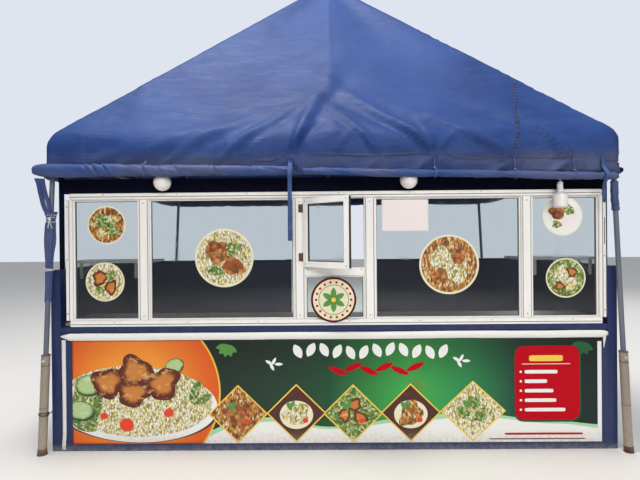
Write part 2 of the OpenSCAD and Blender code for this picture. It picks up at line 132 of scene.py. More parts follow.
class Shader:
    """A few short words for wiring nodes in one tree"""

    def __init__(self, tree):
        self.tree = tree

    def add(self, kind, links=(), **settings):
        node = self.tree.nodes.new("ShaderNode" + kind)
        for key, value in settings.items():
            setattr(node, key, value)
        for socket, value in dict(links).items():
            self.put(node, socket, value)
        return node

    def put(self, node, socket, value):
        target = node.inputs[socket]
        if isinstance(value, bpy.types.NodeSocket):
            self.tree.links.new(value, target)
        else:
            target.default_value = (*value, 1) if target.type == "RGBA" and len(value) == 3 else value

    def noise(self, where, scale, detail=4.0, rough=0.5, warp=0.0):
        links = {"Vector": where, "Scale": scale, "Detail": detail, "Roughness": rough, "Distortion": warp}
        return self.add("TexNoise", links).outputs["Fac"]

    def math(self, how, a, b=None, clamp=False):
        links = {0: a} if b is None else {0: a, 1: b}
        return self.add("Math", links, operation=how, use_clamp=clamp).outputs[0]

    def plus(self, a, b, clamp=False):
        return self.math("ADD", a, b, clamp)

    def minus(self, a, b):
        return self.math("SUBTRACT", a, b)

    def times(self, a, b, clamp=False):
        return self.math("MULTIPLY", a, b, clamp)

    def spread(self, value, a, b, to_a=0.0, to_b=1.0):
        """Value from a..b mapped smoothly to to_a..to_b"""
        links = {"Value": value, "From Min": a, "From Max": b, "To Min": to_a, "To Max": to_b}
        return self.add("MapRange", links, interpolation_type="SMOOTHSTEP").outputs["Result"]

    def mix(self, share, a, b, how="MIX"):
        return self.add("Mix", {0: share, 6: a, 7: b}, data_type="RGBA", blend_type=how).outputs[2]

    def stretch(self, where, scale):
        return self.add("Mapping", {"Vector": where, "Scale": scale}).outputs["Vector"]

    def axis(self, where, which):
        return self.add("SeparateXYZ", {0: where}).outputs[which]

    def bump(self, height, strength, distance):
        links = {"Height": height, "Strength": strength, "Distance": distance}
        return self.add("Bump", links).outputs["Normal"]

    def objects_own(self):
        return self.add("TexCoord").outputs["Object"]

    def cloths_own(self):
        return self.add("UVMap", uv_map="cloth").outputs["UV"]


# The studio's sky, brighter behind the stall than before it
world = bpy.data.worlds.new("studio")
world.use_nodes = True
sky = Shader(world.node_tree)
sky_where = sky.add("TexCoord").outputs["Generated"]
background = world.node_tree.nodes["Background"]
sky.put(background, "Color", (0.84, 0.89, 0.98, 1))
sky.put(background, "Strength", sky.spread(sky.axis(sky_where, "Y"), -0.9, 0.7, 0.2, 0.88))
scene.world = world
scene.view_settings.view_transform = "Standard"


def made_wear():
    """Scratched chips, scuffs and dust over a base colour, with more of both near the ground"""
    takes = [("Where", "Vector", None)]
    takes += [(part, "Color", None) for part in ("Base", "Under", "Dust")]
    takes += [("Chips", "Float", None), ("Dusting", "Float", None), ("Ground", "Float", None)]
    gives = (("Color", "Color", None), ("Rough", "Float", None), ("Height", "Float", None))
    s, take, give = node_group("wear", takes, gives)
    where = take["Where"]
    cloud = s.noise(where, 2.2, 5, 0.6)
    fleck = s.noise(where, 38, 6, 0.62, 0.4)
    near_ground = s.spread(s.axis(where, "Z"), 0.0, take["Ground"], 1.0, 0.0)
    limit = s.minus(s.minus(0.9, s.times(take["Chips"], 0.22)), s.times(near_ground, 0.07))
    level = s.plus(s.times(cloud, 0.45), s.times(fleck, 0.72))
    chip = s.times(s.minus(level, limit), 26, clamp=True)
    streak = s.noise(s.stretch(where, (22, 22, 1.3)), 1.0, 5, 0.6)
    dust = s.times(s.spread(streak, 0.42, 0.72), take["Dusting"])
    dust = s.times(s.plus(dust, s.times(near_ground, s.spread(fleck, 0.2, 0.7)), clamp=True), 0.75)
    tone = s.mix(s.spread(cloud, 0.3, 0.7, 0.0, 0.35), take["Base"], (0.5, 0.5, 0.5), "SOFT_LIGHT")
    tone = s.mix(dust, tone, take["Dust"])
    s.put(give, "Color", s.mix(chip, tone, take["Under"]))
    s.put(give, "Rough", s.plus(s.times(dust, 0.4), s.times(chip, 0.45), clamp=True))
    s.put(give, "Height", s.minus(s.times(fleck, 0.1), s.times(chip, 1.0)))
    return s.tree


def made_weave():
    """Plain weave in metres on the cloth's own map, as a height from 0 to 1"""
    takes = (("Where", "Vector", None), ("Threads", "Float", None))
    s, take, give = node_group("weave", takes, (("Height", "Float", None),))
    scaled = s.add("VectorMath", {0: take["Where"], "Scale": take["Threads"]}, operation="SCALE").outputs[0]
    x, y = s.math("SINE", s.axis(scaled, "X")), s.math("SINE", s.axis(scaled, "Y"))
    s.put(give, "Height", s.spread(s.times(x, y), -1.0, 1.0))
    return s.tree


wear_group = made_wear()
weave_group = made_weave()


skins = {}


def new_skin(name, metallic=0.0, roughness=0.5, **sockets):
    """A new material, kept by its name, with its shader's words and its surface node"""
    material = bpy.data.materials.new(name)
    skins[name] = material
    material.use_nodes = True
    shader = Shader(material.node_tree)
    skin = material.node_tree.nodes["Principled BSDF"]
    for key, value in {"Metallic": metallic, "Roughness": roughness, **sockets}.items():
        shader.put(skin, key.replace("_", " "), value)
    return shader, skin


RUST = (0.16, 0.065, 0.03)
# a near-black dust colour, painted shade, for the window header
SHADE_PAINTED_DUST = (0.015, 0.015, 0.02)
ROAD_DUST = (0.42, 0.31, 0.24)
NAVY = (0.014, 0.026, 0.094)
GREY_UNDER = (0.05, 0.05, 0.05)
CHIP_DEPTH = 0.0012


def worn(name, base, under, dust, chips, dusting, ground, rough, bump=0.4, metallic=0.0, **sockets):
    s, skin = new_skin(name, metallic, **sockets)
    where = s.objects_own()
    links = {"Where": where, "Base": base, "Under": under, "Dust": dust}
    links |= {"Chips": chips, "Dusting": dusting, "Ground": ground}
    wear = s.add("Group", links, node_tree=wear_group)
    s.put(skin, "Base Color", wear.outputs["Color"])
    varied = s.plus(s.times(s.noise(where, 9, 3), 0.16), rough - 0.08)
    s.put(skin, "Roughness", s.plus(varied, wear.outputs["Rough"], clamp=True))
    s.put(skin, "Normal", s.bump(wear.outputs["Height"], bump, CHIP_DEPTH))


# name: colour, colour where chipped, dust, chips, dusting, height of ground dirt, roughness, bump, metal
WORN = {
    "navy_enamel": (NAVY, (0.12, 0.11, 0.12), (0.2, 0.19, 0.2), 0.3, 0.1, 0.06, 0.4),
    "powder_white": ((0.86, 0.83, 0.79), (0.34, 0.3, 0.26), (0.45, 0.38, 0.31), 0.16, 0.18, 0.0, 0.36, 0.2),
    "weathered_pipe": ((0.095, 0.115, 0.15), RUST, ROAD_DUST, 0.75, 0.3, 0.35, 0.5, 0.7),
    "dusty_pipe": ((0.26, 0.215, 0.17), RUST, (0.38, 0.31, 0.25), 0.6, 0.6, 0.5, 0.65, 0.7),
    "counter_laminate": ((0.5, 0.46, 0.4), (0.28, 0.2, 0.13), ROAD_DUST, 0.2, 0.2, 0.0, 0.4),
    "white_board": ((0.72, 0.7, 0.66), (0.4, 0.35, 0.3), ROAD_DUST, 0.15, 0.2, 0.0, 0.42),
    "rusted_steel": ((0.085, 0.032, 0.02), (0.04, 0.016, 0.012), ROAD_DUST, 0.9, 0.4, 0.0, 0.78, 1.0),
    # the window header: its near-black colour, chips and dust are painted shade for the shadow under the
    # canopy
    "shade_painted_board": ((0.004, 0.005, 0.016), (0.02, 0.02, 0.03), SHADE_PAINTED_DUST, 0.3, 0.1, 0.0, 0.8, 0.3),
    "black_gasket": ((0.012, 0.012, 0.013), GREY_UNDER, ROAD_DUST, 0.2, 0.3, 0.0, 0.6, 0.3),
    "slit_grey": ((0.13, 0.125, 0.12), GREY_UNDER, ROAD_DUST, 0.2, 0.3, 0.0, 0.6, 0.3),
    "plated_screw": ((0.5, 0.49, 0.47), RUST, ROAD_DUST, 0.5, 0.2, 0.0, 0.35, 0.4, 1.0),
    "stitch_thread": ((0.07, 0.1, 0.26), (0.07, 0.08, 0.14), ROAD_DUST, 0.1, 0.12, 0.0, 0.7, 0.1),
    "lamp_cap": ((0.7, 0.69, 0.66), (0.4, 0.36, 0.3), ROAD_DUST, 0.2, 0.3, 0.0, 0.4, 0.2),
    "white_cord": ((0.6, 0.58, 0.55), (0.3, 0.26, 0.22), ROAD_DUST, 0.3, 0.3, 0.0, 0.7, 0.3),
}
GLOSS = {"navy_enamel": 0.35, "shade_painted_board": 0.06}
for name, row in WORN.items():
    worn(name, *row, **({"Specular_IOR_Level": GLOSS[name]} if name in GLOSS else {}))


def made_tarpaulin(name, deep, pale, dusty):
    s, skin = new_skin(name, 0.0, 0.4, Specular_IOR_Level=0.18)
    where = s.objects_own()
    cloud = s.noise(where, 1.1, 6, 0.6, 0.4)
    crinkle = s.noise(s.stretch(where, (2.6, 2.6, 13)), 1.5, 7, 0.58, 0.7)
    dent = s.noise(s.stretch(where, (1, 1, 1.5)), 5.5, 3, 0.5, 1.2)
    pucker = s.noise(s.stretch(where, (8, 8, 30)), 1.4, 4, 0.55, 0.9)
    weave = s.add("Group", {"Where": s.cloths_own(), "Threads": 1800.0}, node_tree=weave_group)
    tone = s.mix(s.spread(cloud, 0.3, 0.7), deep, pale)
    tone = s.mix(s.spread(crinkle, 0.5, 0.8, 0.0, 0.28), tone, dusty)
    drips = s.noise(s.stretch(where, (16, 16, 0.8)), 1.0, 5, 0.6)
    tone = s.mix(s.spread(drips, 0.55, 0.8, 0.0, 0.2), tone, dusty)
    # paler towards the peak, and grime along the lower hem
    height = s.axis(where, "Z")
    tone = s.mix(s.spread(height, 2.5, 4.1, 0.0, 0.2), tone, dusty)
    hem = s.spread(height, 2.02, 2.14, 0.5, 0.0)
    tone = s.mix(s.times(hem, s.spread(cloud, 0.25, 0.6)), tone, (0.09, 0.085, 0.1))
    s.put(skin, "Base Color", tone)
    s.put(skin, "Roughness", s.spread(crinkle, 0.2, 0.8, 0.4, 0.6))
    relief = s.plus(s.times(crinkle, 0.6), s.times(dent, 0.5))
    relief = s.plus(s.plus(relief, s.times(pucker, 0.32)), s.times(weave.outputs["Height"], 0.03))
    s.put(skin, "Normal", s.bump(relief, 0.5, 0.012))


made_tarpaulin("blue_tarpaulin", (0.010, 0.032, 0.135), (0.019, 0.055, 0.2), (0.04, 0.08, 0.225))
made_tarpaulin("rolled_tarpaulin", (0.018, 0.05, 0.19), (0.038, 0.09, 0.28), (0.08, 0.13, 0.31))
made_tarpaulin("seam_tarpaulin", (0.02, 0.03, 0.085), (0.04, 0.05, 0.12), (0.12, 0.11, 0.14))


def made_glass():
    s, skin = new_skin("window_pane", 0.0, 0.02, IOR=1.45, Transmission_Weight=1.0)
    where = s.objects_own()
    smear = s.noise(s.stretch(where, (3, 3, 1.2)), 2.0, 6, 0.6, 0.6)
    grit = s.times(s.noise(where, 60, 4, 0.6), 0.25)
    s.put(skin, "Base Color", (0.68, 0.72, 0.72))
    s.put(skin, "Roughness", s.spread(s.plus(smear, grit), 0.6, 0.95, 0.01, 0.16))


def made_webbing():
    s, skin = new_skin("webbing", 0.0, 0.75)
    links = {"Vector": s.cloths_own(), "Scale": 120.0, "Distortion": 0.6}
    rib = s.add("TexWave", links, bands_direction="Y").outputs["Fac"]
    fade = s.noise(s.objects_own(), 12, 4)
    tone = s.mix(s.spread(fade, 0.35, 0.7), (0.02, 0.06, 0.2), (0.05, 0.11, 0.29))
    s.put(skin, "Base Color", s.mix(s.times(rib, 0.35), tone, (0.01, 0.01, 0.04)))
    s.put(skin, "Normal", s.bump(rib, 0.8, 0.001))


made_glass()
made_webbing()


def add_ripple(s, skin, where, low_rough, high_rough):
    """Soft ripples of thin vinyl, in its gloss and its shape"""
    ripple = s.noise(s.stretch(where, (1.2, 1.2, 5)), 2.4, 5, 0.55, 0.5)
    s.put(skin, "Roughness", s.spread(ripple, 0.2, 0.8, low_rough, high_rough))
    s.put(skin, "Normal", s.bump(ripple, 0.25, 0.006))
    return ripple


def made_vinyl(name, base, dirt=ROAD_DUST, rough=0.42, gloss=0.35):
    """Printed or plain vinyl: a thin plastic skin with soft ripples and grime"""
    s, skin = new_skin(name, 0.0, rough, Specular_IOR_Level=gloss)
    where = s.objects_own()
    ripple = add_ripple(s, skin, where, rough - 0.08, rough + 0.12)
    spots = s.noise(where, 42, 5, 0.6)
    low_dirt = s.times(s.spread(s.axis(where, "Z"), 0.02, 0.16, 0.55, 0.0), s.spread(spots, 0.25, 0.65))
    grime = s.plus(s.spread(spots, 0.6, 0.85, 0.0, 0.3), low_dirt)
    tone = s.mix(s.times(ripple, 0.12), base, (1, 1, 1), "SOFT_LIGHT")
    s.put(skin, "Base Color", s.mix(grime, tone, dirt))


VINYLS = {
    "white_vinyl": ((0.75, 0.73, 0.69),),
    "notice_paper": ((0.83, 0.74, 0.71), (0.6, 0.5, 0.45), 0.7, 0.0),
    "yellow_print": ((0.83, 0.55, 0.06),),
    "red_print": ((0.46, 0.0, 0.008), (0.3, 0.08, 0.07), 0.5, 0.12),
    "cream_print": ((0.78, 0.72, 0.5), (0.5, 0.42, 0.3)),
    "white_print": ((0.8, 0.79, 0.75),),
    "pale_green_print": ((0.35, 0.62, 0.36),),
    "deep_green_print": ((0.008, 0.05, 0.02),),
    "shade_green_print": ((0.012, 0.1, 0.03),),
    "umber_print": ((0.07, 0.02, 0.012),),
    "tomato_print": ((0.72, 0.05, 0.015), (0.3, 0.1, 0.05)),
    "leaf_print": ((0.09, 0.26, 0.05),),
}
for name, row in VINYLS.items():
    made_vinyl(name, *row)

# The round orange end of the banner: its middle and its radius
ARC_X, ARC_Z, ARC_R = -1.408, 0.41, 0.609


def made_banner_print():
    """The banner's printed ground: an orange end with a glow, and a green field that lightens to the right"""
    s, skin = new_skin("banner_print", 0.0, 0.4, Specular_IOR_Level=0.3)
    where = s.objects_own()
    across, up = s.axis(where, "X"), s.axis(where, "Z")
    field = s.add("ValToRGB", {0: s.spread(across, -0.95, 1.85)})
    steps = field.color_ramp.elements
    steps[0].color, steps[1].color = (0.012, 0.024, 0.018, 1), (0.004, 0.016, 0.012, 1)
    greens = {0.25: (0.008, 0.06, 0.025, 1), 0.55: (0.04, 0.34, 0.06, 1)}
    greens |= {0.76: (0.02, 0.2, 0.06, 1), 0.9: (0.006, 0.05, 0.03, 1)}
    for place, colour in greens.items():
        steps.new(place).color = colour
    low_dark = s.spread(up, 0.35, 0.8, 1.15, 0.5)
    shade = s.add("CombineColor", {0: low_dark, 1: low_dark, 2: low_dark}).outputs[0]
    green = s.mix(1.0, field.outputs["Color"], shade, "MULTIPLY")
    dx, dz = s.minus(across, ARC_X), s.minus(up, ARC_Z)
    reach = s.math("SQRT", s.plus(s.times(dx, dx), s.times(dz, dz)))
    glow = s.add("ValToRGB", {0: s.spread(reach, 0.05, 0.62)})
    glow.color_ramp.elements[0].color = (0.9, 0.36, 0.04, 1)
    glow.color_ramp.elements[1].color = (0.68, 0.1, 0.01, 1)
    picture = s.mix(s.spread(reach, 0.594, 0.598, 1.0, 0.0), (0.75, 0.5, 0.05), glow.outputs["Color"])
    in_arc, left_of_it = s.spread(reach, 0.606, 0.61, 1.0, 0.0), s.spread(across, -1.41, -1.405, 1.0, 0.0)
    s.put(skin, "Base Color", s.mix(s.math("MAXIMUM", in_arc, left_of_it), green, picture))
    add_ripple(s, skin, where, 0.3, 0.5)


def made_grains(name, colours, scale, stretchy=(1, 1, 1)):
    """Close-packed grains or flakes in a few colours, as printed on the discs and diamonds"""
    s, skin = new_skin(name, 0.0, 0.4, Specular_IOR_Level=0.3)
    where = s.stretch(s.objects_own(), stretchy)
    cells = s.add("TexVoronoi", {"Vector": where, "Scale": scale, "Randomness": 1.0})
    ramp = s.add("ValToRGB", {0: s.axis(cells.outputs["Color"], "X")})
    ramp.color_ramp.interpolation = "CONSTANT"
    elements = ramp.color_ramp.elements
    elements[0].color = (*colours[0], 1)
    elements[1].position = 1.0 - 1.0 / len(colours)
    elements[1].color = (*colours[-1], 1)
    for k, colour in enumerate(colours[1:-1], 1):
        elements.new(k / len(colours)).color = (*colour, 1)
    edge = s.spread(cells.outputs["Distance"], 0.25, 0.85, 0.0, 0.6)
    s.put(skin, "Base Color", s.mix(edge, ramp.outputs["Color"], (0.12, 0.08, 0.02)))


RICE = ((0.88, 0.84, 0.62), (0.8, 0.62, 0.2), (0.85, 0.78, 0.5))
RICE += ((0.74, 0.66, 0.36), (0.9, 0.88, 0.78), (0.3, 0.3, 0.06))
NOODLES = ((0.6, 0.27, 0.05), (0.7, 0.36, 0.1), (0.3, 0.1, 0.03))
NOODLES += ((0.8, 0.6, 0.3), (0.16, 0.035, 0.015), (0.42, 0.12, 0.03))
ROAST = ((0.33, 0.08, 0.02), (0.5, 0.16, 0.04), (0.22, 0.04, 0.015), (0.62, 0.27, 0.09))
GREENS = ((0.05, 0.17, 0.03), (0.13, 0.3, 0.06), (0.35, 0.45, 0.14), (0.6, 0.62, 0.3))


def made_rounded_print(name, middle, rim, rim_at, spots):
    """A printed round thing, shaded from its middle out to its rim by the share of the radius on its map"""
    s, skin = new_skin(name, 0.0, 0.4, Specular_IOR_Level=0.3)
    where = s.objects_own()
    speckle = s.times(s.minus(s.noise(where, 55, 4, 0.6), 0.5), 0.35)
    share = s.plus(s.axis(s.cloths_own(), "Y"), speckle)
    tone = s.mix(s.spread(share, rim_at - 0.25, rim_at + 0.1), middle, rim)
    gleam = s.noise(s.stretch(where, (1, 1, 1.6)), 22, 3, 0.5, 0.5)
    s.put(skin, "Base Color", s.mix(s.spread(gleam, 0.55, 0.72, 0.0, 0.55), tone, spots))


def made_frosted_lamp():
    lit = {"Subsurface_Weight": 0.25, "Subsurface_Scale": 0.02, "Coat_Weight": 0.3}
    s, skin = new_skin("frosted_lamp", 0.0, 0.32, **lit)
    fog = s.noise(s.objects_own(), 14, 4)
    s.put(skin, "Base Color", s.mix(s.spread(fog, 0.3, 0.8, 0.0, 0.3), (0.82, 0.78, 0.75), (0.62, 0.56, 0.5)))


made_banner_print()
made_grains("rice_print", RICE, 62, (1.7, 1, 0.8))
made_grains("noodle_print", NOODLES, 60, (1.5, 1, 0.7))
made_grains("roast_print", ROAST, 34)
made_grains("greens_print", GREENS, 70)
made_rounded_print("glazed_print", (0.55, 0.2, 0.04), (0.12, 0.018, 0.008), 0.72, (0.85, 0.55, 0.22))
made_rounded_print("slice_print", (0.42, 0.55, 0.25), (0.02, 0.08, 0.015), 0.98, (0.7, 0.75, 0.5))
made_frosted_lamp()


# Making pieces
def finish_piece(name, bm, skin, smooth=True):
    mesh = bpy.data.meshes.new(name)
    bm.to_mesh(mesh)
    bm.free()
    piece = bpy.data.objects.new(name, mesh)
    scene.collection.objects.link(piece)
    mesh.materials.append(skins[skin])
    mesh.polygons.foreach_set("use_smooth", [smooth] * len(mesh.polygons))
    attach(piece, "root")
    return piece


def give_thickness(piece, thick):
    wall = piece.modifiers.new("thickness", "SOLIDIFY")
    wall.thickness = thick
    wall.offset = -1
    return piece


def bent_sheet(name, along, across, size, place, skin, slot, thick=0.0, closed=False):
    """A grid of faces, its map in metres, bent by place(u, v) with u and v from 0 to 1"""
    bm = bmesh.new()
    bmesh.ops.create_grid(bm, x_segments=along, y_segments=across, size=0.5)
    cloth_map = bm.loops.layers.uv.new("cloth")
    for face in bm.faces:
        for loop in face.loops:
            co = loop.vert.co
            loop[cloth_map].uv = ((co.x + 0.5) * size[0], (co.y + 0.5) * size[1])
    for vert in bm.verts:
        vert.co = place(vert.co.x + 0.5, vert.co.y + 0.5)
    if closed:
        bmesh.ops.remove_doubles(bm, verts=bm.verts, dist=1e-6)
    piece = finish_piece(name, bm, skin)
    return give_thickness(piece, thick) if thick else piece


def ease_edges(bm, verts, edge, segments=2):
    edges = list({e for v in verts for e in v.link_edges})
    bmesh.ops.bevel(bm, geom=edges, offset=edge, affect="EDGES", segments=segments, profile=0.5, material=-1)


def add_block(bm, lo, hi, edge=0.0, segments=2):
    made = bmesh.ops.create_cube(bm, size=1)["verts"]
    lo, hi = Vector(lo), Vector(hi)
    bmesh.ops.scale(bm, vec=hi - lo, verts=made)
    bmesh.ops.translate(bm, vec=(lo + hi) / 2, verts=made)
    if edge:
        ease_edges(bm, made, edge, segments)
    return made


def add_tube(bm, points, r, sides=8, closed=False):
    """A round bar swept through the points"""
    count = len(points)
    rings = []
    side = None
    for k, point in enumerate(points):
        ahead = points[(k + 1) % count] if closed else points[min(k + 1, count - 1)]
        back = points[k - 1] if closed or k else points[0]
        way = (ahead - back).normalized()
        side = way.orthogonal().normalized() if side is None else side
        side = (side - way * side.dot(way)).normalized()
        turned = Matrix.Translation(point) @ Matrix((side, way.cross(side), way)).transposed().to_4x4()
        rings.append(bmesh.ops.create_circle(bm, segments=sides, radius=r, matrix=turned)["verts"])
    for pair in zip(rings, rings[1:] + rings[:1] if closed else rings[1:]):
        edges = []
        for ring in pair:
            edges += list({e for v in ring for e in v.link_edges if e.other_vert(v) in ring})
        bmesh.ops.bridge_loops(bm, edges=list(dict.fromkeys(edges)))
    if not closed:
        for ring in (rings[0], rings[-1]):
            bmesh.ops.contextual_create(bm, geom=ring)


def add_rod(bm, a, b, r1, r2=None, sides=16):
    a, b = Vector(a), Vector(b)
    turned = Matrix.Translation((a + b) / 2) @ (b - a).to_track_quat("Z", "Y").to_matrix().to_4x4()
    size = {"radius1": r1, "radius2": r1 if r2 is None else r2, "depth": (b - a).length}
    bmesh.ops.create_cone(bm, cap_ends=True, segments=sides, matrix=turned, **size)


def around(a, r, z=0.0):
    """The point at angle a on a level circle"""
    return Vector((cos(a) * r, sin(a) * r, z))


def add_hoop(bm, middle, r, thick, rise=lambda a: 0.0, steps=26, sides=6, closed=True):
    """A ring of round bar about a middle, its height at each angle given by rise"""
    turns = [2 * pi * k / steps for k in range(steps if closed else steps + 1)]
    add_tube(bm, [Vector(middle) + around(a, r, rise(a)) for a in turns], thick, sides, closed)


# Finishes of the frame's own parts
SKIN_OF_SLOT = {
    "navy_paint": "navy_enamel",
    "white_aluminium": "powder_white",
    "clear_glass": "window_pane",
    "printed_banner": "banner_print",
    "white_cloth": "white_vinyl",
    "counter_board": "counter_laminate",
    "shelf_board": "white_board",
    "grey_pipe": "weathered_pipe",
    "tarpaulin": "blue_tarpaulin",
    "webbing": "webbing",
    "rusty_steel": "rusted_steel",
    "lamp_plastic": "frosted_lamp",
}
# the window header gets the near-black board, a painted shade
SKIN_OF_NODE = {"lower_legs": "dusty_pipe", "window_header": "shade_painted_board"}
for row in frame["record"]["subparts"]:
    node_skins = nodes[row["node"]].data.materials
    node_skins.clear()
    node_skins.append(skins[SKIN_OF_NODE.get(row["node"], SKIN_OF_SLOT[row["material_slot"]])])

# The canopy cloth: a straight slope, a round shoulder, then a skirt that hangs straight down
SHOULDER_R = 0.19
SLOPE_FOOT = 2.21
arc = pi / 2 - atan((apex_z - SLOPE_FOOT) / half_w)
shoulder_z = SLOPE_FOOT - SHOULDER_R * tan(arc / 2)
slope_end = 1 - SHOULDER_R * (1 - cos(arc)) / half_w
slope_end_z = shoulder_z + SHOULDER_R * sin(arc)
slope_run = hypot(slope_end * half_w, apex_z - slope_end_z)
arc_run = SHOULDER_R * arc
cloth_run = slope_run + arc_run + shoulder_z - skirt_z


def cloth_level(t):
    """Share of the half width and the height at t along the cloth, 0 at the peak and 1 at the lower edge"""
    d = t * cloth_run
    if d <= slope_run:
        return slope_end * d / slope_run, apex_z + (slope_end_z - apex_z) * d / slope_run
    if d <= slope_run + arc_run:
        a = arc - (d - slope_run) / SHOULDER_R
        return 1 - SHOULDER_R * (1 - cos(a)) / half_w, shoulder_z + SHOULDER_R * sin(a)
    return 1.0, shoulder_z - (d - slope_run - arc_run)


def level_at(z):
    """How far down the cloth the height z lies, below the shoulder"""
    return (slope_run + arc_run + shoulder_z - z) / cloth_run


def wander(x, y=0.0, z=0.0):
    return noise.noise(Vector((x, y, z)))


def ridged(x, y, z):
    return 1 - abs(wander(x, y, z)) * 2


def bell(x, width, power=2):
    """1 at x = 0, falling off smoothly over the width"""
    return exp(-((x / width) ** power))


def within(x, least=0.0, most=1.0):
    return max(least, min(most, x))


def curve_z(points, x):
    for (x0, z0), (x1, z1) in zip(points, points[1:]):
        if x <= x1:
            f = max(0.0, (x - x0) / (x1 - x0))
            return z0 + (z1 - z0) * f * f * (3 - 2 * f)
    return points[-1][1]


def on_cloth(u, v):
    """Point and outward direction of the bare cloth; the larger of u and v says how far down it lies"""
    t = max(abs(u), abs(v), 1e-6)
    share, z = cloth_level(t)
    ahead_share, ahead_z = cloth_level(min(t + 0.004, 1.0))
    back_share, back_z = cloth_level(max(t - 0.004, 0.0))
    side = abs(u) > abs(v)
    run = (ahead_share - back_share) * (half_w if side else half_d)
    fall = ahead_z - back_z
    flat = hypot(run, fall)
    a, b = u / t, v / t
    over_hip = max(0.0, (min(abs(a), abs(b)) - 0.965) / 0.035) * 0.5
    to_side = Vector((1 if u > 0 else -1, 0, 0))
    to_end = Vector((0, 1 if v > 0 else -1, 0))
    main, other = (to_side, to_end) if side else (to_end, to_side)
    outward = (main * (1 - over_hip) + other * over_hip).normalized()
    normal = (outward * (-fall / flat) + Vector((0, 0, run / flat))).normalized()
    return Vector((a * share * half_w, mid_y + b * share * half_d, z)), normal


# Folds up the slope from where the cloth is tied: (place along the eave, lean, length, height, width)
FOLDS = (
    (-0.27, 15, 1.7, 0.034, 0.052),
    (-0.31, 33, 0.8, 0.018, 0.032),
    (-0.80, 47, 1.2, 0.028, 0.038),
    (-1.22, 58, 1.2, 0.024, 0.042),
    (-1.52, 66, 1.3, 0.020, 0.046),
    (-1.80, 72, 1.2, 0.018, 0.048),
    (0.02, 32, 0.4, 0.010, 0.026),
    (0.33, -34, 0.75, 0.028, 0.034),
    (0.71, -41, 1.35, 0.046, 0.042),
    (0.71, -14, 0.5, 0.012, 0.030),
    (0.72, 38, 0.35, 0.012, 0.026),
    (1.25, -56, 1.1, 0.040, 0.040),
    (1.64, -44, 1.1, 0.040, 0.040),
    (1.66, -66, 0.8, 0.014, 0.034),
    (1.86, -30, 0.4, 0.012, 0.030),
)
# Where the hem is tied down, and how the creases below each tie fan out
TIES = (-1.80, -1.22, -0.27, 0.71, 1.25, 1.64)
FAN = (-1.5, -0.6, 0.75, 1.7)
SKIRT = 0.16
# Height of the sewn line along the eave
SEAM = ((-1.98, 1.992), (-1.2, 1.998), (-0.8, 2.02), (-0.43, 2.044))
SEAM += ((-0.28, 2.09), (0.0, 2.078), (0.27, 2.07))
SEAM += ((0.706, 2.083), (0.95, 2.044), (1.24, 2.048), (1.66, 2.044), (1.85, 2.03), (1.98, 2.02))
# The cloth lies at most this far off its bare shape: outward, inward, and inward over the eave pipes
MOST_OUT, MOST_IN, IN_AT_PIPE = 0.044, -0.06, -0.005


def seam_height(along):
    return curve_z(SEAM, along) + 0.004 * wander(along * 6, 1.7, 0.3)


def fold_lift(along, up_slope):
    """The folds from the ties: a ridge with a valley beside it, and a short ridge below the sewn line"""
    lift = 0.0
    for place, lean, length, height, width in FOLDS:
        dx = along - place
        lean = radians(lean)
        if up_slope >= 0:
            way = dx * sin(lean) + up_slope * cos(lean)
            off = dx * cos(lean) - up_slope * sin(lean)
            if abs(dx) <= 2.0 and 0 < way < length:
                shape = min(1.0, way / 0.05) * (1 - way / length) ** 1.2
                spread = width * (0.42 + 1.35 * way)
                valley = 1.7 * spread if lean > 0 else -1.7 * spread
                lift += height * shape * (bell(off, spread) - 0.6 * bell(off - valley, spread))
        elif abs(dx) <= 2.0 and up_slope > -SKIRT:
            off = dx + up_slope * sin(lean) * 1.6
            lift += height * 0.5 * min(1.0, -up_slope / 0.04) * bell(off, 0.03)
    return lift


def fan_lift(along, below):
    """Creases that fan out below each tie, down to the hem"""
    lift = 0.0
    for place in TIES:
        if 0 < below < SKIRT and abs(along - place) < 0.25:
            for slant in FAN:
                reach = min(1.0, below / 0.02) * (1 - below / 0.17)
                lift += 0.009 * reach * bell(along - place - below * slant, 0.017)
    return lift


def cloth_lift(u, v, base):
    """How far the cloth lies off its bare shape: slack between the rafters, folds from the ties, creases"""
    t = max(abs(u), abs(v), 1e-6)
    q = min(abs(u), abs(v)) / t
    side = abs(u) > abs(v)
    skirt = within((t - level_at(shoulder_z)) / 0.03 + 1)
    lift = -0.034 * sin(pi * q) ** 2 * sin(pi * min(t / 0.92, 1.0)) ** 0.7
    # over the middle rafter and the hip rafters
    lift += (0.005 * bell(q, 0.03) + 0.004 * bell(1 - q, 0.02)) * (1 - skirt)
    along = (base.y - mid_y) * (1.2 if u > 0 else -1.2) if side else base.x * (1 if v < 0 else -1)
    down = t * cloth_run
    up_slope = level_at(seam_height(along)) * cloth_run - down
    lift += fold_lift(along, up_slope) + fan_lift(along, -up_slope)
    slope = min(t / 0.9, 1.0)
    lift += (ridged(along * 1.7, base.z * 0.9, 3.0 + side) - 0.55) * 0.006 * slope
    lift += (ridged(along * 1.9 + base.z * 0.6, base.z * 8.5, 9.0 + side) - 0.55) * 0.0028 * slope
    # short creases that run across the slope, thicker in some patches than in others
    patch = 0.4 + 0.9 * max(0.0, wander(along * 0.9, down * 0.9, 7.0 + side) + 0.3)
    lift += (ridged(along * 5.5, down * 15, 4.0 + side) - 0.55) * 0.0036 * slope * patch
    # pinched along the sewn line, loose below it
    lift -= 0.007 * bell(up_slope, 0.012)
    lift += skirt * 0.006 * wander(along * 8, base.z * 2.5, 5.0)
    # the cloth never sinks into the eave pipe behind it
    most_in = MOST_IN + (IN_AT_PIPE - MOST_IN) * bell(base.z - eave_z, 0.06, 4)
    return max(most_in, min(lift, MOST_OUT))


def cloth_point(u, v, lift=0.0):
    base, normal = on_cloth(u, v)
    return base + normal * (cloth_lift(u, v, base) + lift)


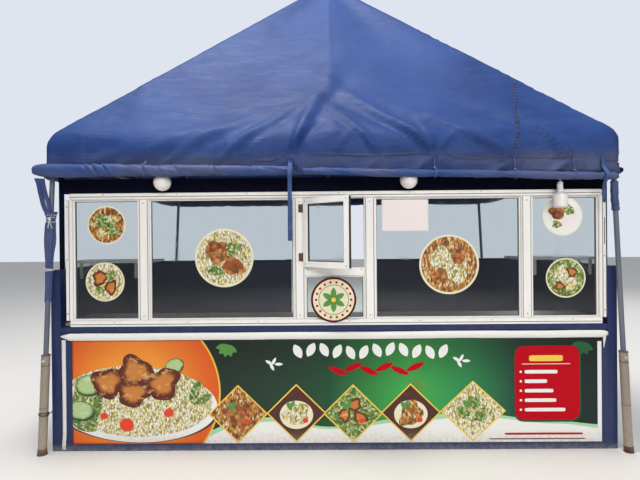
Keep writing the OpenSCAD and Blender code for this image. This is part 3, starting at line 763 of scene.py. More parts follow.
def made_roof():
    bm = bmesh.new()
    bmesh.ops.create_grid(bm, x_segments=216, y_segments=216, size=1.0)
    cloth_map = bm.loops.layers.uv.new("cloth")
    for face in bm.faces:
        for loop in face.loops:
            loop[cloth_map].uv = (loop.vert.co.x * cloth_run, loop.vert.co.y * cloth_run)
    # each quad that a hip crosses is split along the hip
    for sign in (1, -1):
        for face in list(bm.faces):
            on_hip = [v for v in face.verts if abs(v.co.x - sign * v.co.y) < 1e-5]
            if len(on_hip) == 2 and len(face.verts) == 4:
                bmesh.utils.face_split(face, *on_hip)
    for vert in bm.verts:
        vert.co = cloth_point(vert.co.x, vert.co.y)
    return give_thickness(finish_piece("canopy_cloth", bm, "blue_tarpaulin"), 0.0016)


roof = made_roof()
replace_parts(roof, "roof_front", "roof_back", "roof_left", "roof_right")


def side_of_cloth(k, along, t):
    """(u, v) on side k of the canopy, front, right, back or left, at along -1..1 of its width"""
    a = along * t
    return ((a, -t), (t, a), (-a, t), (-t, -a))[k]


def eave_uv(k, f, aside=0.0, ahead=0.0):
    """(u, v) on the sewn line of side k at f from 0 to 1 along it, or a little aside of it"""
    t = level_at(seam_height((-1 + 2 * f) * (half_d * 1.2 if k % 2 else half_w)))
    return side_of_cloth(k, -1 + 2 * (f + ahead), t + aside / cloth_run)


def sewn_band(name, point, steps, size, lift):
    """A flat band sewn on the canopy; point(w, c) gives (u, v) with c from 0 to 1 over the band's width"""

    def place(w, c):
        return cloth_point(*point(w, c), lift * (0.25 + 0.75 * sin(pi * within(c)) ** 0.4))

    bent_sheet(name, steps, 4, size, place, "seam_tarpaulin", "tarpaulin", 0.001)


SEAM_W, STITCHES, STITCH_OUT = 0.017, 150, 0.0036
for k, label in enumerate(("front", "right", "back", "left")):

    def seam_uv(w, c):
        return eave_uv(k, w, (c - 0.5) * SEAM_W)

    sewn_band("eave_seam_" + label, seam_uv, 170, (3.9, SEAM_W), 0.003)
    bm = bmesh.new()
    for n in range(STITCHES):
        for row in (-0.005, 0.005):
            f = (n + 0.5) / STITCHES
            here = cloth_point(*eave_uv(k, f, row), STITCH_OUT)
            there = cloth_point(*eave_uv(k, f, row, 0.002), STITCH_OUT)
            way = (there - here).normalized() * 0.006
            add_rod(bm, here - way, here + way, 0.0009, sides=4)
    finish_piece("eave_stitches_" + label, bm, "stitch_thread")

# A laced join on the front slope: two welted edges and the cord that crosses between them
LACE = ((1.262, 2.052), (1.275, 2.16), (1.30, 2.28), (1.335, 2.42), (1.37, 2.55), (1.41, 2.68))
WELT_W, CROSSINGS = 0.007, 22


def lace_wave(w):
    return 0.004 * sin(w * 19)


def lace_uv(w, aside):
    spot = w * (len(LACE) - 1)
    i = min(int(spot), len(LACE) - 2)
    (x0, z0), (x1, z1) = LACE[i : i + 2]
    x = x0 + (x1 - x0) * (spot - i) + aside
    z = z0 + (z1 - z0) * (spot - i)
    if z > slope_end_z:
        t = (apex_z - z) / (apex_z - slope_end_z) * slope_run / cloth_run
    elif z > shoulder_z:
        t = (slope_run + SHOULDER_R * (arc - atan2(z - shoulder_z, SHOULDER_R))) / cloth_run
    else:
        t = level_at(z)
    return side_of_cloth(0, x / (cloth_level(t)[0] * half_w), t)


for aside, label in ((-0.0075, "left"), (0.0075, "right")):

    def welt_uv(w, c):
        return lace_uv(w, aside + lace_wave(w) + (c - 0.5) * WELT_W)

    sewn_band("laced_welt_" + label, welt_uv, 60, (0.66, WELT_W), 0.004)
bm = bmesh.new()
for n in range(CROSSINGS):
    w = 0.02 + 0.96 * n / (CROSSINGS - 1)
    for aside in (-0.009, 0.009):
        a = cloth_point(*lace_uv(w, lace_wave(w) - aside), 0.0055)
        b = cloth_point(*lace_uv(w + 0.02, lace_wave(w) + aside), 0.0065)
        add_rod(bm, a, b, 0.0015, sides=6)
finish_piece("lacing_cord", bm, "stitch_thread")

# A patch sewn over the peak, where the pipes meet
bm = bmesh.new()
bmesh.ops.create_circle(bm, cap_ends=True, cap_tris=True, segments=48, radius=1.0)
bmesh.ops.subdivide_edges(bm, edges=bm.edges, cuts=5, use_grid_fill=True)
for vert in bm.verts:
    reach = min(vert.co.length, 1.0)
    spot = Vector((vert.co.x, vert.co.y, 0)) * 0.055
    vert.co = cloth_point(spot.x + 1e-7, spot.y, 0.0028 * (1 - reach**6) + 0.0006)
finish_piece("peak_patch", bm, "seam_tarpaulin")

# Share of a roll's turn given to the cloth's top edge, and how far that edge runs up the skirt
WOUND, TAIL = 0.94, 0.03


def rolled_curtain(
    name, node, a, b, radii, outward, taper, ties, seed, turns=2.5, slant=0.02, creases=(), tall=1.0
):
    """A curtain rolled up from a to b, its free edge wound inside, its top edge running up along the skirt"""
    a, b = Vector(a), Vector(b)
    length = (b - a).length
    way = (b - a).normalized()
    inward = -Vector(outward)
    marks = sorted([0.0, *ties, 1.0])

    def place(u, v):
        s = u * length
        ends = min(s, length - s)
        size = radii[0] + (radii[1] - radii[0]) * u
        if s < length - s:
            end_r = taper[0] + (1 - taper[0]) * min(1.0, s / 0.08) ** 0.6
        else:
            end_r = taper[1] + (1 - taper[1]) * min(1.0, ends / 0.05) ** 0.5
        pinch = sum(bell(s - tie * length, 0.035) for tie in ties)
        sag = 0.0
        for p, q in zip(marks, marks[1:]):
            if p <= u <= q and q > p:
                sag = sin(pi * (u - p) / (q - p)) * 0.005 * min(1.0, (q - p) * length)
        if v > WOUND:
            rest = (v - WOUND) / (1 - WOUND)
            off = size * 0.98 + 0.003 * wander(s * 9, rest, seed)
            return a + way * s + inward * off + Vector((0, 0, TAIL * rest))
        part = v / WOUND
        angle = -(1 - part) * 2 * pi * turns
        fold = ridged(s * 4.6 + angle * 0.62, angle * 0.32, seed) - 0.5
        deep = max(0.0, ridged(s * 3.4 - angle * 0.42, angle * 0.05, seed + 31) - 0.72)
        fine = wander(s * 15 + angle * 1.9, angle * 0.9, seed + 4)
        swell = wander(s * 1.9, 0.0, seed + 8)
        shape = 0.96 + 0.04 * swell + 0.07 * fold - 0.9 * deep + 0.03 * fine - 0.16 * pinch
        for at, deep_in in creases:
            off = s - at * length - 0.030 * (angle + pi)
            valley = bell(off, 0.007) * min(1.0, part * 3)
            shape -= deep_in * valley - deep_in * 0.35 * bell(off - 0.018, 0.01)
        r = min(size * (0.4 + 0.6 * part**0.8) * end_r * shape, size * 1.05)
        shear = slant * (1 - part) * (1 if u < 0.5 else -1) * exp(-ends / 0.08)
        height = sin(angle) * r * (1 + (tall - 1) * (1 - u)) - sag
        return a + way * (s + shear) + inward * (cos(angle) * r) + Vector((0, 0, height))

    steps = max(24, int(length / (0.008 if creases else 0.0125)))
    size = (length, turns * 2 * pi * sum(radii) / 2 * 0.72 + TAIL)
    piece = bent_sheet(name, steps, int(turns * 22) + 3, size, place, "rolled_tarpaulin", "tarpaulin", 0.0014)
    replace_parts(piece, node)


cloth_front = roof_lo.y
rolls_lo, rolls_hi = low("front_rolls"), high("front_rolls")
ROLL_R, ROLL_END_R, THIN_R, SIDE_R = 0.047, 0.036, 0.030, 0.034
GAP = (-0.255, -0.205)
LEFT_CREASES = ((0.215, 0.22), (0.245, 0.42), (0.285, 0.30), (0.43, 0.25))
LEFT_CREASES += ((0.49, 0.16), (0.555, 0.2), (0.70, 0.24))
roll_z = skirt_z + 0.038
thin_y = cloth_front - THIN_R
rolled_curtain(
    "front_roll_left",
    "front_rolls",
    (rolls_lo.x, cloth_front - ROLL_R, roll_z + 0.010),
    (GAP[0], cloth_front - ROLL_END_R, roll_z - 0.008),
    (ROLL_R, ROLL_END_R),
    (0, -1, 0),
    (0.55, 0.8),
    (0.36, 0.7, 0.955),
    2.0,
    slant=0.03,
    creases=(*LEFT_CREASES, (0.86, 0.16)),
    tall=1.2,
)
rolled_curtain(
    "front_roll_right",
    "front_rolls",
    (GAP[1], thin_y, roll_z - 0.012),
    (rolls_hi.x, thin_y, roll_z - 0.066),
    (THIN_R, 0.028),
    (0, -1, 0),
    (0.8, 0.7),
    (0.03, 0.42, 0.64, 0.94),
    7.0,
    creases=((0.12, 0.14), (0.3, 0.18), (0.52, 0.14), (0.78, 0.18)),
)
side_lo, side_hi = low("side_rolls"), high("side_rolls")
side_z = (side_lo.z + side_hi.z) / 2
for label, sign in (("left", -1), ("right", 1)):
    x = sign * (half_w + SIDE_R)
    ends = (x, side_lo.y, side_z), (x, side_hi.y, side_z)
    rolled_curtain(
        "side_roll_" + label,
        "side_rolls",
        *ends,
        (SIDE_R, SIDE_R),
        (sign, 0, 0),
        (0.6, 0.7),
        (0.25, 0.5, 0.75),
        11.0 + sign,
    )
rear_lo, rear_hi = low("rear_roll"), high("rear_roll")
rear_y = (rear_lo.y + rear_hi.y) / 2
ends = (rear_lo.x, rear_y, side_z), (rear_hi.x, rear_y, side_z)
rear_ties = (0.17, 0.39, 0.61, 0.83)
rolled_curtain(
    "rear_roll_cloth", "rear_roll", *ends, (SIDE_R, SIDE_R), (0, 1, 0), (0.6, 0.6), rear_ties, 15.0
)

# Middles of the leg tops, and how far the legs' feet splay
leg_top = Vector((low("corner_fittings").x + 0.019, low("corner_fittings").y + 0.019, eave_z))
SPLAY = 0.1


def leg_axis(z, sx=-1, sy=-1):
    """Middle of a leg at height z"""
    y = leg_top.y if sy < 0 else 2 * mid_y - leg_top.y
    return Vector((sx * (abs(leg_top.x) + SPLAY * (1 - z / eave_z)), y, z))


KNOT_Z = 1.64
bundle_lo, bundle_hi = low("curtain_bundle"), high("curtain_bundle")


def hanging_fold(name, top, low_end, r_top, r_low, seed):
    """A gathered strip of curtain from the roll's end to the tie on the leg"""
    top, low_end = Vector(top), Vector(low_end)

    def place(u, v):
        a = u * 2 * pi
        r = (r_top + (r_low - r_top) * v) * (1 - 0.18 * bell(v - 0.9, 0.05))
        ruck = 1 + 0.3 * sin(a * 5 + seed + v * 2.2) * (1 - 0.4 * v)
        r *= (ruck + 0.18 * wander(cos(a) * 1.5, sin(a) * 1.5, v * 4 + seed)) / 1.3
        return top.lerp(low_end, v) + Vector((cos(a) * r + 0.006 * sin(v * 5 + seed), sin(a) * r * 0.8, 0))

    size = (1.5 * pi * r_top, round((top - low_end).length, 3))
    piece = bent_sheet(name, 60, 60, size, place, "rolled_tarpaulin", "tarpaulin", 0.001, closed=True)
    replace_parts(piece, "curtain_bundle")


knot_at = leg_axis(KNOT_Z)
outer_top, inner_top = (-2.022, cloth_front - 0.045, bundle_hi.z), (-1.984, cloth_front - 0.035, bundle_hi.z)
hanging_fold("curtain_fold_outer", outer_top, knot_at + Vector((-0.014, -0.014, 0.03)), 0.021, 0.016, 1.0)
hanging_fold("curtain_fold_inner", inner_top, knot_at + Vector((0.004, -0.022, 0.03)), 0.016, 0.014, 4.0)

# Least radius of cloth that is gathered round a leg, so that the pipe stays inside it
LEG_CLOTH_R = 0.0185


def tail_place(u, v):
    z = KNOT_Z + 0.06 - v * (KNOT_Z + 0.06 - bundle_lo.z)
    a = u * 2 * pi
    r = 0.0235 + 0.011 * bell(v - 0.28, 0.22) - 0.004 * v + 0.012 * bell(v, 0.03)
    r *= 1 - 0.2 * bell(v - 0.1, 0.02)
    r += 0.0042 * sin(a * 7 + 2.5 * v) * (1 - 0.5 * v) + 0.004 * wander(cos(a) * 2, sin(a) * 2, v * 7)
    return leg_axis(z) + around(a, max(r, LEG_CLOTH_R), 0.012 * sin(a * 3) * v)


def gathered_cloth(name, node, size, place, steps):
    piece = bent_sheet(name, *steps, size, place, "rolled_tarpaulin", "tarpaulin", 0.001, closed=True)
    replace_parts(piece, node)


gathered_cloth("curtain_tail", "curtain_bundle", (0.19, 0.62), tail_place, (72, 90))
# height, radius and tilt of each turn of cord round the gathered curtain
CORD_TURNS = ((KNOT_Z + 0.014, 0.0285, 0.25), (KNOT_Z - 0.008, 0.0275, -0.2), (KNOT_Z + 0.034, 0.030, 0.1))
CORD_TURNS += ((1.305, 0.0315, 0.2), (1.287, 0.0305, -0.15))
bm = bmesh.new()
for z, r, tilt in CORD_TURNS:
    add_hoop(bm, leg_axis(z), r, 0.0034, lambda a: sin(a + z * 9) * r * tilt, sides=8, closed=False)
knot_front = knot_at + Vector((0.006, -0.031, 0.008))
blob = bmesh.ops.create_icosphere(bm, subdivisions=3, radius=0.012)["verts"]
for vert in blob:
    vert.co *= 1 + 0.25 * noise.noise(vert.co * 90)
bmesh.ops.translate(bm, vec=knot_front, verts=blob)
finish_piece("curtain_ties", bm, "white_cord")


def hanging_cord(name, path, r, skin):
    bm = bmesh.new()
    add_tube(bm, path, r)
    piece = finish_piece(name, bm, skin)


for k, (dx, drop) in enumerate(((0.02, 0.06), (-0.012, 0.085))):
    path = []
    for f in [n / 8 for n in range(9)]:
        path.append(knot_front + Vector((dx * f, -0.004 * sin(f * 3), -drop * f - 0.006)))
    hanging_cord("tie_end_%d" % k, path, 0.0028, "white_cord")

# Sleeve of curtain cloth tied round the front right leg
sleeve_lo, sleeve_hi = low("leg_sleeve").z, high("leg_sleeve").z


def sleeve_place(u, v):
    a = u * 2 * pi
    r = 0.0235 + 0.0025 * sin(a * 5 + v * 3) + 0.004 * wander(cos(a) * 2, sin(a) * 2, v * 4)
    r -= 0.0045 * (bell(v - 0.2, 0.05) + bell(v - 0.8, 0.05))
    return leg_axis(sleeve_lo + (sleeve_hi - sleeve_lo) * v, 1) + around(a, max(r, LEG_CLOTH_R))


gathered_cloth("leg_sleeve_cloth", "leg_sleeve", (0.16, 0.2), sleeve_place, (56, 44))
bm = bmesh.new()
for share in (0.19, 0.215, 0.79, 0.815):
    z = sleeve_lo + (sleeve_hi - sleeve_lo) * share
    add_hoop(bm, leg_axis(z, 1), 0.0235, 0.0026, lambda a: sin(a + z * 9) * 0.004, sides=8, closed=False)
finish_piece("sleeve_ties", bm, "webbing")

# Straps that hang from the canopy's edge
straps_lo, straps_hi = low("straps"), high("straps")
strap_half = 0.015
left_x, right_x = straps_lo.x + strap_half, straps_hi.x - strap_half


def left_strap(u, v):
    """The strap at the rolls' gap: over the front of the roll's end, then hanging, twisted a little"""
    z = 2.06 - v * (2.06 - straps_lo.z)
    y = straps_lo.y + 0.0012 + 0.006 * sin(v * 4) ** 2
    if z > 1.93:
        y += (cloth_front - 0.012 - y) * within((z - 1.93) / 0.09) ** 1.6
    turn = 0.35 * sin(v * 3.4)
    w = (u - 0.5) * 2 * strap_half
    return Vector((left_x + w * cos(turn), y + w * sin(turn) * 0.35, z))


def right_strap(u, v):
    z = 2.046 - v * (2.046 - 1.73)
    y = cloth_front - 0.010 - 0.056 * bell(z - 1.914, 0.04) - 0.02 * v
    w = (u - 0.5) * 2 * strap_half * (1 - 0.25 * v)
    return Vector((right_x + w + 0.002 * sin(v * 5), y, z))


STRAPS = (("hanging_strap", 90, 0.58, left_strap), ("right_strap", 70, 0.34, right_strap))
for name, steps, length, place in STRAPS:
    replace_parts(bent_sheet(name, 8, steps, (0.03, length), place, "webbing", "webbing", 0.0022), "straps")


def lashing(bm, x, y_roll, z_roll, r):
    """Loop of cord round a front roll, knotted over it and tied through the sewn line above"""
    points = []
    for k in range(27):
        a = -pi * 0.55 + 2 * pi * 0.98 * k / 26
        out = r + 0.003
        points.append(Vector((x + 0.004 * sin(a * 2 + x), y_roll - cos(a) * out, z_roll + sin(a) * out)))
    high_point = max(points, key=lambda p: p.z)
    for p, q in (*zip(points, points[1:]), (high_point, Vector((x, cloth_front - 0.006, 2.05)))):
        add_rod(bm, p, q, 0.0026, sides=6)
    knot = bmesh.ops.create_icosphere(bm, subdivisions=2, radius=0.009)["verts"]
    bmesh.ops.scale(bm, vec=(1.2, 0.8, 0.9), verts=knot)
    bmesh.ops.translate(bm, vec=high_point + Vector((0, 0, 0.004)), verts=knot)


bm = bmesh.new()
lashing(bm, 0.706, thin_y, roll_z - 0.036, 0.030)
lashing(bm, 1.255, thin_y, roll_z - 0.05, 0.029)
lashing(bm, 1.659, thin_y, roll_z - 0.059, 0.028)
lashing(bm, -1.28, cloth_front - 0.043, roll_z, 0.043)
finish_piece("front_lashings", bm, "stitch_thread")

# The printed banner
banner_lo, banner_hi = low("banner"), high("banner")
banner_w, banner_h = banner_hi.x - banner_lo.x, banner_hi.z - banner_lo.z
LAYER = 0.0005
# How square a shape's outline is: 1 gives a diamond, a high power a card with round corners
SQUARE = {"diamond": 1, "card": 9}


def banner_y(x, z):
    """Front face of the banner, with its shallow ripples"""
    edge = min(x - banner_lo.x, banner_hi.x - x, z - banner_lo.z, banner_hi.z - z)
    wave = 0.0022 * wander(x * 1.3, z * 3.2, 2.0) + 0.0011 * wander(x * 5.0, z * 1.6, 8.0)
    return banner_lo.y - 0.0014 + wave * min(1.0, max(edge, 0.0) / 0.06)


def glass_y(x, z):
    return glass_front - 0.0004


def shape_point(kind, a, share, rx, rz):
    """A point of a printed shape round its middle, at angle a and share of its radius"""
    c, s = cos(a), sin(a)
    reach = 1.0
    if kind in SQUARE:
        power = SQUARE[kind]
        reach = 1 / (abs(c) ** power + abs(s) ** power) ** (1 / power)
    if kind == "lump":
        reach = 1 + 0.13 * sin(3 * a + rx * 60) + 0.08 * sin(5 * a + rz * 90)
    narrow = (1 - c * c) ** 0.35 if kind == "leaf" else 1.0
    return c * reach * rx * share, s * reach * rz * share * narrow


def printed(name, shapes, skin, layer, face=banner_y):
    """Flat printed shapes, each (kind, x, z, half width, half height, turn), laid on the face one layer up"""
    bm = bmesh.new()
    flat_map = bm.loops.layers.uv.new("cloth")
    for kind, x, z, rx, rz, turn in shapes:
        big = max(rx, rz)
        sides = 4 * max(5, min(24, int(big * 220)))
        rings = max(1, min(14, int(big * 40)))
        grid = bmesh.ops.create_grid(bm, x_segments=sides, y_segments=rings, size=0.5)["verts"]
        for f in {f for v in grid for f in v.link_faces}:
            for loop in f.loops:
                loop[flat_map].uv = (loop.vert.co.x + 0.5, loop.vert.co.y + 0.5)
        tc, ts = cos(radians(turn)), sin(radians(turn))
        for vert in grid:
            px, pz = shape_point(kind, -2 * pi * (vert.co.x + 0.5), vert.co.y + 0.5, rx, rz)
            wx, wz = x + px * tc - pz * ts, z + px * ts + pz * tc
            if face is banner_y:
                wx = within(wx, banner_lo.x + 0.001, banner_hi.x - 0.001)
                wz = within(wz, banner_lo.z + 0.001, banner_hi.z - 0.001)
            vert.co = (wx, face(wx, wz) - LAYER * layer, wz)
        bmesh.ops.remove_doubles(bm, verts=grid, dist=1e-6)
    finish_piece(name, bm, skin)


def disc(x, z, rx, rz=None, turn=0):
    return ("round", x, z, rx, rx if rz is None else rz, turn)


def rosette(x, z, reach, rx, rz, turns, kind="leaf"):
    """Shapes set round a middle, each turned to point away from it"""
    places = [(a, around(radians(a), reach)) for a in turns]
    return [(kind, x + p.x, z + p.y, rx, rz, a) for a, p in places]


def printed_band(name, x0, x1, upper, skin, layer):
    """A printed field from the banner's foot up to a curve; one starting left of the middle meets the arc"""
    foot = banner_lo.z + 0.002

    def place(u, v):
        guess = x0 + (x1 - x0) * u
        z = foot + (upper(guess) - foot) * v
        start = x0 if x0 > 0 else ARC_X + sqrt(ARC_R**2 - (z - ARC_Z) ** 2)
        x = start + (x1 - start) * u
        z = foot + (upper(x) - foot) * v
        return Vector((x, banner_y(x, z) - LAYER * layer, z))

    bent_sheet(name, 160, 10, (x1 - x0, 1.0), place, skin, "printed_banner")


def sheet_place(u, v):
    x, z = banner_lo.x + banner_w * u, banner_lo.z + banner_h * v
    return Vector((x, banner_y(x, z), z))


SHEET_T = 0.0009
banner_size = (banner_w, banner_h)
banner_sheet = bent_sheet(
    "banner_sheet", 220, 44, banner_size, sheet_place, "banner_print", "printed_banner", SHEET_T
)
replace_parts(banner_sheet, "banner")

# The white wave along the foot, its green edge, and the white margin at the right end
WAVE = ((-0.93, 0.10), (-0.66, 0.185), (-0.45, 0.207), (-0.03, 0.152), (0.61, 0.208), (0.97, 0.235))
WAVE += ((1.6, 0.18), (1.9, 0.148))
WAVE_END = 1.888


def wave_edge(x):
    return curve_z(WAVE, x) + 0.012 + 0.02 * sin(x * 2.1) ** 2


printed_band("print_wave_pale", -0.93, WAVE_END, wave_edge, "pale_green_print", 1)
printed_band("print_wave", -0.915, WAVE_END, lambda x: curve_z(WAVE, x) - 0.004, "white_print", 2)
printed_band("print_right_margin", 1.862, banner_hi.x - 0.001, lambda x: banner_hi.z - 0.03, "white_print", 3)

# A heaped dish on the orange end
DISH_GREENS = []
for k in range(5):
    DISH_GREENS.append(("leaf", -1.79 + 0.05 * (k % 3), 0.20 + 0.065 * k, 0.115, 0.05, 150 - 32 * k))
DISH_GREENS += [("leaf", -0.98, 0.42, 0.09, 0.035, 70), ("leaf", -0.93, 0.36, 0.08, 0.03, 30)]
RIMS = [disc(-1.732, 0.465, 0.103, 0.076, 8), disc(-1.797, 0.283, 0.1, 0.07, -6)]
RIMS += [disc(-1.128, 0.595, 0.074, 0.055, 30)]
SLICES = [disc(-1.735, 0.472, 0.098, 0.072, 8), disc(-1.80, 0.292, 0.095, 0.066, -6)]
SLICES += [disc(-1.13, 0.60, 0.07, 0.052, 30)]
ROASTS = ((-1.60, 0.485, 0.115, 0.098, 20), (-1.40, 0.56, 0.125, 0.102, -15), (-1.21, 0.475, 0.12, 0.1, 40))
ROASTS += ((-1.42, 0.41, 0.115, 0.088, 5),)
TOMATOES = [disc(-1.47, 0.185, 0.05, 0.046), disc(-1.17, 0.27, 0.036, 0.03, 30)]
TOMATOES += [disc(-1.63, 0.25, 0.028, 0.024)]
printed("dish_shade", [disc(-1.40, 0.300, 0.585, 0.245, -2)], "umber_print", 1)
printed("dish", [disc(-1.40, 0.322, 0.578, 0.262, -2)], "white_print", 2)
printed("dish_heap", [disc(-1.405, 0.352, 0.548, 0.252, -2)], "rice_print", 3)
printed("dish_greens", DISH_GREENS, "greens_print", 4)
printed("slice_rims", RIMS, "deep_green_print", 4.5)
printed("dish_slices", SLICES, "slice_print", 5)
roast_edges = [("lump", x, z, rx * 1.05, rz * 1.06, t) for x, z, rx, rz, t in ROASTS]
printed("dish_roasts_edge", roast_edges, "umber_print", 5)
printed("dish_roasts", [("lump", x, z + 0.003, rx, rz, t) for x, z, rx, rz, t in ROASTS], "glazed_print", 6)
printed("dish_tomatoes", TOMATOES, "tomato_print", 6)

# Five framed pictures over the wave: x, z, half width, half height, ground, whether on a plate, heap
PICTURES = (
    (-0.677, 0.258, 0.212, 0.207, "noodle_print", False, "roast_print"),
    (-0.263, 0.262, 0.212, 0.207, "umber_print", True, "rice_print"),
    (0.139, 0.258, 0.212, 0.207, "greens_print", False, "glazed_print"),
    (0.546, 0.262, 0.212, 0.207, "umber_print", True, "noodle_print"),
    (0.985, 0.27, 0.233, 0.215, "rice_print", False, "greens_print"),
)
LUMPS = ((-0.06, -0.01), (0.05, -0.03), (0.01, 0.06))
for k, (x, z, rx, rz, ground, plate, heap) in enumerate(PICTURES):
    printed("frame_%d" % k, [("diamond", x, z, rx, rz, 0)], "yellow_print", 4)
    printed("picture_%d" % k, [("diamond", x, z, rx - 0.013, rz - 0.013, 0)], ground, 5)
    if plate:
        printed("plate_%d" % k, [disc(x, z - 0.012, 0.118, 0.1)], "cream_print", 6)
    shapes = [("lump", x, z - 0.008, 0.094, 0.074, 20 * k)]
    if k in (2, 4):
        shapes = [("lump", x + dx, z + dz, 0.052, 0.042, 40 * k + 70 * n) for n, (dx, dz) in enumerate(LUMPS)]
    printed("heap_%d" % k, shapes, heap, 7)
    leaves = [("leaf", x - 0.05, z + 0.05, 0.035, 0.016, 120)]
    leaves += [("leaf", x - 0.03, z + 0.062, 0.033, 0.014, 60)]
    printed("garnish_%d" % k, leaves, "leaf_print", 8)
    if k != 4:
        printed("slice_%d" % k, [disc(x + 0.062, z - 0.052, 0.021, 0.018)], "tomato_print", 8)

# Red card with plain bars
BARS = (0.115, 0.078, 0.100, 0.110, 0.142)
bars = [("card", 1.350 + w, 0.545 - 0.067 * k, w, 0.0125, 0) for k, w in enumerate(BARS)]
bars += [disc(1.322, 0.545 - 0.067 * k, 0.0085) for k in range(5)]
printed("card_shade", [("card", 1.512, 0.460, 0.236, 0.270, 0)], "deep_green_print", 4)
printed("card", [("card", 1.508, 0.466, 0.2285, 0.2625, 0)], "red_print", 5)
printed("card_head", [("card", 1.50, 0.640, 0.118, 0.021, 0)], "yellow_print", 6)
printed("card_rule", [("card", 1.50, 0.600, 0.170, 0.0025, 0)], "cream_print", 6)
printed("card_bars", bars, "white_print", 6)

# Rows of leaf shapes, tufts and sprigs above the wave, and two plain lines at the foot
title, swash = [], []
for k in range(12):
    turn = 62 if k % 2 else 118
    title.append(("leaf", -0.25 + 0.0935 * k, 0.700 + 0.012 * sin(k * 1.1), 0.054, 0.030, turn))
for k in range(6):
    up = 1 if k % 2 else -1
    swash.append(("leaf", 0.03 + 0.11 * k, 0.572 + 0.013 * up, 0.072, 0.021, 24 * up))
TUFT = range(190, 360, 34)
tufts = rosette(-0.75, 0.742, 0.035, 0.046, 0.021, TUFT) + rosette(0.60, 0.485, 0.035, 0.046, 0.021, TUFT)
SPRIG = ((0, 0.02, 60), (0.034, 0.0, 0), (-0.014, -0.02, -60), (-0.034, 0.012, 150))
SPRIGS_AT = ((-0.42, 0.61), (0.905, 0.625))
sprigs = [("leaf", x + dx, z + dz, 0.03, 0.011, a) for x, z in SPRIGS_AT for dx, dz, a in SPRIG]
printed("title_ornament", title, "white_print", 4)
printed("title_swash", swash, "red_print", 4)
printed("leaf_tufts", tufts, "leaf_print", 3)
printed("shaded_tuft", rosette(1.76, 0.742, 0.035, 0.05, 0.021, TUFT), "shade_green_print", 3)
printed("small_sprigs", sprigs, "white_print", 4)
printed("low_line", [("card", 1.482, 0.107, 0.275, 0.0075, 0)], "red_print", 4)
printed("low_line_small", [("card", 1.435, 0.072, 0.337, 0.0045, 0)], "umber_print", 4)

# White margin of the sheet beside the left stile, hung from the fold and lying over the base rail
MARGIN_LOW, MARGIN_HIGH = 0.012, 0.79
margin_x0, margin_x1 = low("front_panel").x + 0.003, low("front_stiles").x - 0.003
board_y, rail_y, rail_top = low("front_panel").y, low("base_rails").y, high("base_rails").z


def margin_place(u, v):
    x = margin_x0 + (margin_x1 - margin_x0) * (u * (1 - 0.12 * (1 - v)) + 0.04 * sin(v * 5))
    z = MARGIN_LOW + (MARGIN_HIGH - MARGIN_LOW) * v
    y = board_y + (min(rail_y, board_y) - board_y) * within((rail_top + 0.06 - z) / 0.05)
    return Vector((x, y - 0.0016 - 0.003 * sin(u * pi) - 0.0015 * wander(0, u, v * 7), z))


MARGIN_SIZE = (0.031, 0.778)
margin = bent_sheet(
    "banner_margin", 8, 80, MARGIN_SIZE, margin_place, "white_vinyl", "white_cloth", SHEET_T
)

# The spare cloth rolled up along the banner's top
fold_lo, fold_hi = low("banner_fold"), high("banner_fold")


def fold_place(u, v):
    x = fold_lo.x + 0.004 + (fold_hi.x - fold_lo.x - 0.008) * u
    from_left, from_right = x - fold_lo.x, fold_hi.x - x
    tip = min(1.0, 0.12 + from_left / 0.075) if from_left < from_right else min(1.0, 0.5 + from_right / 0.09)
    turn = radians(80 + 460 * v)
    inner = 0.62 + 0.38 * min(1.0, v / 0.4)
    crease = 1 + 0.05 * wander(x * 5, turn * 0.5, 3.0) + 0.02 * wander(x * 21, turn, 5.0)
    high_r = (fold_hi.z - fold_lo.z) * 0.46 * inner * tip * crease
    deep_r = 0.0145 * inner * (0.5 + 0.5 * tip)
    z_mid = (fold_lo.z + fold_hi.z) / 2 - 0.003 + 0.007 * (1 - tip) + 0.002 * wander(x * 1.7, 0, 9)
    return Vector((x, banner_lo.y - 0.016 - deep_r * cos(turn), z_mid + high_r * sin(turn)))


FOLD_SIZE = (3.85, 0.16)
fold = bent_sheet(
    "banner_fold_cloth", 240, 34, FOLD_SIZE, fold_place, "white_vinyl", "white_cloth", SHEET_T
)
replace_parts(fold, "banner_fold")


def flap_place(u, v):
    """The loose corner that hangs from the roll's right end"""
    x = fold_hi.x - 0.036 + 0.026 * u * (1 - 0.85 * v) + 0.006 * v
    return Vector((x, banner_lo.y - 0.014 + 0.006 * sin(u * 3), fold_lo.z + 0.012 - 0.085 * v))


flap = bent_sheet("banner_flap", 8, 20, (0.026, 0.085), flap_place, "white_vinyl", "white_cloth", SHEET_T)

# Round pictures on the glass: x, z, radius, ground, heap, extra; the fifth is a bare plate
DISCS = (
    (-1.616, 1.607, 0.137, "noodle_print", "greens_print", "rice_print"),
    (-1.631, 1.199, 0.140, "rice_print", "glazed_print", "greens_print"),
    (-0.773, 1.364, 0.210, "rice_print", "roast_print", "greens_print"),
    (0.834, 1.305, 0.213, "noodle_print", "rice_print", "roast_print"),
    (1.643, 1.644, 0.141, "white_print", "roast_print", "greens_print"),
    (1.662, 1.202, 0.141, "greens_print", "rice_print", "glazed_print"),
)
